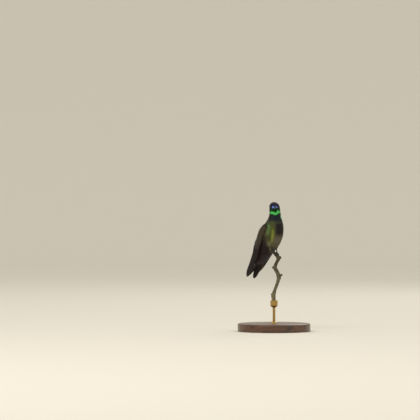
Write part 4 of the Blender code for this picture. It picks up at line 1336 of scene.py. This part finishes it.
def build_legs():
    digits = [(FRONT_ARC, k * TOE_PITCH, k * TOE_FAN) for k in (-1, 0, 1)] + [(HIND_ARC, 0.0, 0.0)]
    for word in HIPS_AT:
        hip, centre, along, up, front, ring, sole = leg_frame(word)
        t = np.linspace(0, 1, 60)
        radii = np.interp(t, (0, 0.12, 0.3, 0.42, 0.56, 0.75, 1.0), (0.72, 0.56, 0.54, 0.7, 0.9, 1.0, 1.0))
        scutes = 1 + 0.05 * np.sign(np.sin(t * 150)) * (t < 0.5)
        parts = [tube(sole + (hip - sole) * t[:, None], radii * scutes, 20)]
        pad = sole + along * np.linspace(-TOE_PITCH - 0.45, TOE_PITCH + 0.45, 16)[:, None]
        swell = 0.72 * np.sqrt(np.clip(1 - np.linspace(-0.98, 0.98, 16) ** 4, 0.02, 1))
        parts.append(tube(pad, swell, 20))
        t = np.linspace(0, 1, 64)
        claw = np.clip((t - 0.7) / 0.3, 0, 1)
        joints = 0.05 * np.cos(t * 2 * np.pi / 0.233) * (claw == 0)
        radii = TOE_RADIUS - 0.02 + joints + (0.07 - TOE_RADIUS) * claw**0.65
        radii = radii * (1 + 0.06 * (np.sin(t * 130) > 0.3) * (claw == 0))
        reach = ring + 0.35 * np.sin(np.pi * claw) + 0.03 * claw
        for (start, end), offset, fan in digits:
            line = centre + around_axis(up, front, np.radians(start + (end - start) * t)) * reach[:, None]
            parts.append(tube(line + along * (offset + fan * t)[:, None], radii, 16))
        piece(f"foot_{word}", parts, "foot", "horn", f"leg_{word}", sharp=70)


def build_twig():
    heights = np.linspace(TWIG[0][2], TWIG[-1][2], 300)
    line, radius = twig_at(heights)
    line = line + GRIP
    out = tube_rings(line, np.ones(len(line)), TWIG_AROUND) - line[:, None]
    rough, tint = np.empty((2, *out.shape[:2]))
    for at in np.ndindex(rough.shape):
        p = Vector(line[at[0]] + out[at] * radius[at[0]])
        ridge = noise.noise(Vector(np.array(p) * (0.9, 0.9, 0.22)) + Vector(out[at] * 1.6))
        crack = abs(noise.noise(Vector(np.array(p) * (2.1, 2.1, 0.5))))
        rough[at] = 0.16 * ridge - 0.12 * max(0.0, 0.18 - crack) / 0.18 + 0.05 * noise.noise(p * 3.0)
        tint[at] = noise.noise(p * 0.35)
    in_cup = smooth(-52.0, -54.0, heights)
    end = np.sqrt(np.clip((TWIG[0][2] - heights) / 0.9, 0.12, 1))
    size = (radius * end)[:, None] - 0.06 + rough * (1 - in_cup[:, None])
    parts = [capped(line[:, None] + out * size[..., None])]
    height_share, lichen = (smooth(*span, heights)[:, None] + 0 * tint for span in ((-50, 0), (-8, -30)))
    colour = mixed(BARK_LOW, BARK_HIGH, height_share) * (1 + 0.5 * tint)[..., None]
    marks = [with_ends(np.concatenate((colour, lichen[..., None]), -1).reshape(-1, 4))]
    for root, tip, thick, thin in STUBS:
        t = np.linspace(0, 1, 26)
        points = np.array(root) + (np.array(tip) - np.array(root)) * t[:, None]
        radii = (thick + (thin - thick) * t * (2 - t)) * np.sqrt(np.clip((1.03 - t) / 0.12, 0.05, 1))
        stub = tube_rings(points + GRIP, radii, STUB_AROUND)
        middle = stub.mean(1)
        for i, j in np.ndindex(stub.shape[:2]):
            swell = 0.1 * noise.noise(Vector(stub[i, j]) * 1.3) + 0.04 * math.sin(t[i] * 40)
            stub[i, j] += (stub[i, j] - middle[i]) * swell
        parts.append(capped(stub))
        shade = mixed(mixed(BARK_LOW, BARK_HIGH, 0.6), BARK_CUT, smooth(0.75, 1.0, t))
        block = np.column_stack((shade, np.full(len(t), 0.4)))
        marks.append(with_ends(np.repeat(block, STUB_AROUND, 0)))
    piece("branch", parts, "bark", "bark", "perch", colours=np.concatenate(marks))


def turned(profile, around):
    """The rings of a turned shape, from the radius and height of each."""
    radius, height = np.array(profile, float).T[..., None]
    turn = circle(around)
    return np.stack(np.broadcast_arrays(radius * np.cos(turn), radius * np.sin(turn), height), -1)


def lathe(profile, around):
    """A closed turned shape from a profile that starts and ends on the axis."""
    co, quads, ends = capped(turned(profile[1:-1], around))
    co[-2:] = [(0, 0, z) for _, z in (profile[0], profile[-1])]
    return co, quads, ends


def build_stand():
    bend = np.radians(90 - 7.5 * np.arange(13))
    shoulder = np.column_stack((37.2 + 2.8 * np.cos(bend), 7.6 + 1.4 * np.sin(bend)))
    base = [(0, 3.0), (1.8, 3.0), (1.8, 8.8), (2.0, 9.0), *shoulder, (40.0, 1.2), (39.9, 0.7), (39.6, 0.2),
            (39.2, 0.0), (0, 0)]
    cup_and_rod = [
        (0, 29.0), (2.9, 29.0), (3.0, 29.2), (3.0, 33.8), (3.1, 34.0), (3.8, 34.0), (4.0, 33.8),
        (4.0, 28.4), (3.8, 27.8), (3.1, 27.1), (1.9, 26.6), (1.55, 26.2), (1.5, 25.8), (1.5, 11.0),
        (1.8, 10.8), (2.8, 10.5), (3.6, 9.9), (3.9, 9.4), (3.9, 9.3), (1.5, 9.3), (1.5, 3.4), (0, 3.3),
    ]
    piece("display_base", [lathe(base, 160)], "wood", "stand_wood", "stand_base", sharp=35)
    piece("display_rod", [lathe(cup_and_rod, 96)], "brass", "stand_brass", "stand_rod", sharp=40)


# ---------------------------------------------------------------- floor, light and camera


FLAT, WALL, STEEP = 3.2, 6.3, 0.28  # the floor is flat this far out, in metres, then curves up
FLOOR_AROUND = 96
LOOKED_AT = Vector((-0.005, 0.0, 0.11))
LAMPS = (  # place in metres, size, power and colour
    ("key", (-0.75, -1.15, 1.25), 0.9, 13.0, (1.0, 0.97, 0.92)),
    ("fill", (1.2, -0.9, 0.7), 1.1, 3.0, (0.93, 0.97, 1.0)),
    ("rim", (0.5, 1.2, 1.1), 0.8, 4.0, (1.0, 0.98, 0.95)),
)
VIEW_FROM, VIEW_ASIDE, VIEW_RISE, VIEW_WIDTH, SENSOR = 2.8, -0.0704, 46.2, 0.462, 36.0


def build_studio():
    paint = {"Base Color": linear(212, 207, 194), "Roughness": 0.9, "Specular IOR Level": 0.1}
    radii = np.concatenate((np.linspace(0.1, FLAT, 12), np.linspace(FLAT + 0.1, WALL, 60)))
    profile = np.column_stack((radii, np.maximum(0, radii - FLAT) ** 2 * STEEP))
    rings = turned(profile, FLOOR_AROUND) / MM
    rows, columns = rings.shape[:2]
    co = np.concatenate((rings.reshape(-1, 3), [[0, 0, 0]]))
    j = np.arange(columns)
    hub = np.stack((np.full(columns, rows * columns), j, (j + 1) % columns), -1)
    floor = mesh_object("studio_floor", co, [grid_faces(rows, columns)[:, ::-1], hub])
    floor.data.materials.append(Look("pale_floor").done(paint))
    sky = bpy.data.worlds.new("studio")
    bpy.context.scene.world = sky
    sky.use_nodes = True
    back = sky.node_tree.nodes["Background"]
    back.inputs["Color"].default_value = (1.0, 0.98, 0.94, 1)
    back.inputs["Strength"].default_value = 0.95
    for name, place, size, power, colour in LAMPS:
        data = bpy.data.lights.new(name, "AREA")
        data.shape, data.size, data.energy, data.color = "DISK", size, power, colour
        lamp = bpy.data.objects.new(name, data)
        lamp.location = place
        lamp.rotation_euler = (LOOKED_AT - lamp.location).to_track_quat("-Z", "Y").to_euler()
        bpy.context.scene.collection.objects.link(lamp)


def build_camera():
    """Level, far off and centred where the view is, so that the bird is small in the frame."""
    data = bpy.data.cameras.new("view")
    data.sensor_width, data.lens, data.clip_end = SENSOR, SENSOR * VIEW_FROM / VIEW_WIDTH, 100.0
    camera = bpy.data.objects.new("view", data)
    camera.location = (VIEW_ASIDE, -VIEW_FROM, (GRIP[2] + VIEW_RISE) * MM)
    camera.rotation_euler = (math.radians(90), 0, 0)
    scene = bpy.context.scene
    scene.collection.objects.link(camera)
    scene.camera = camera
    scene.view_settings.view_transform = "Standard"


def main():
    build_coat(*build_skin())
    for side, word in SIDES.items():
        build_wing(side, word)
    build_tail()
    build_bill()
    build_eyes()
    build_legs()
    build_twig()
    build_stand()
    build_studio()
    build_camera()


main()
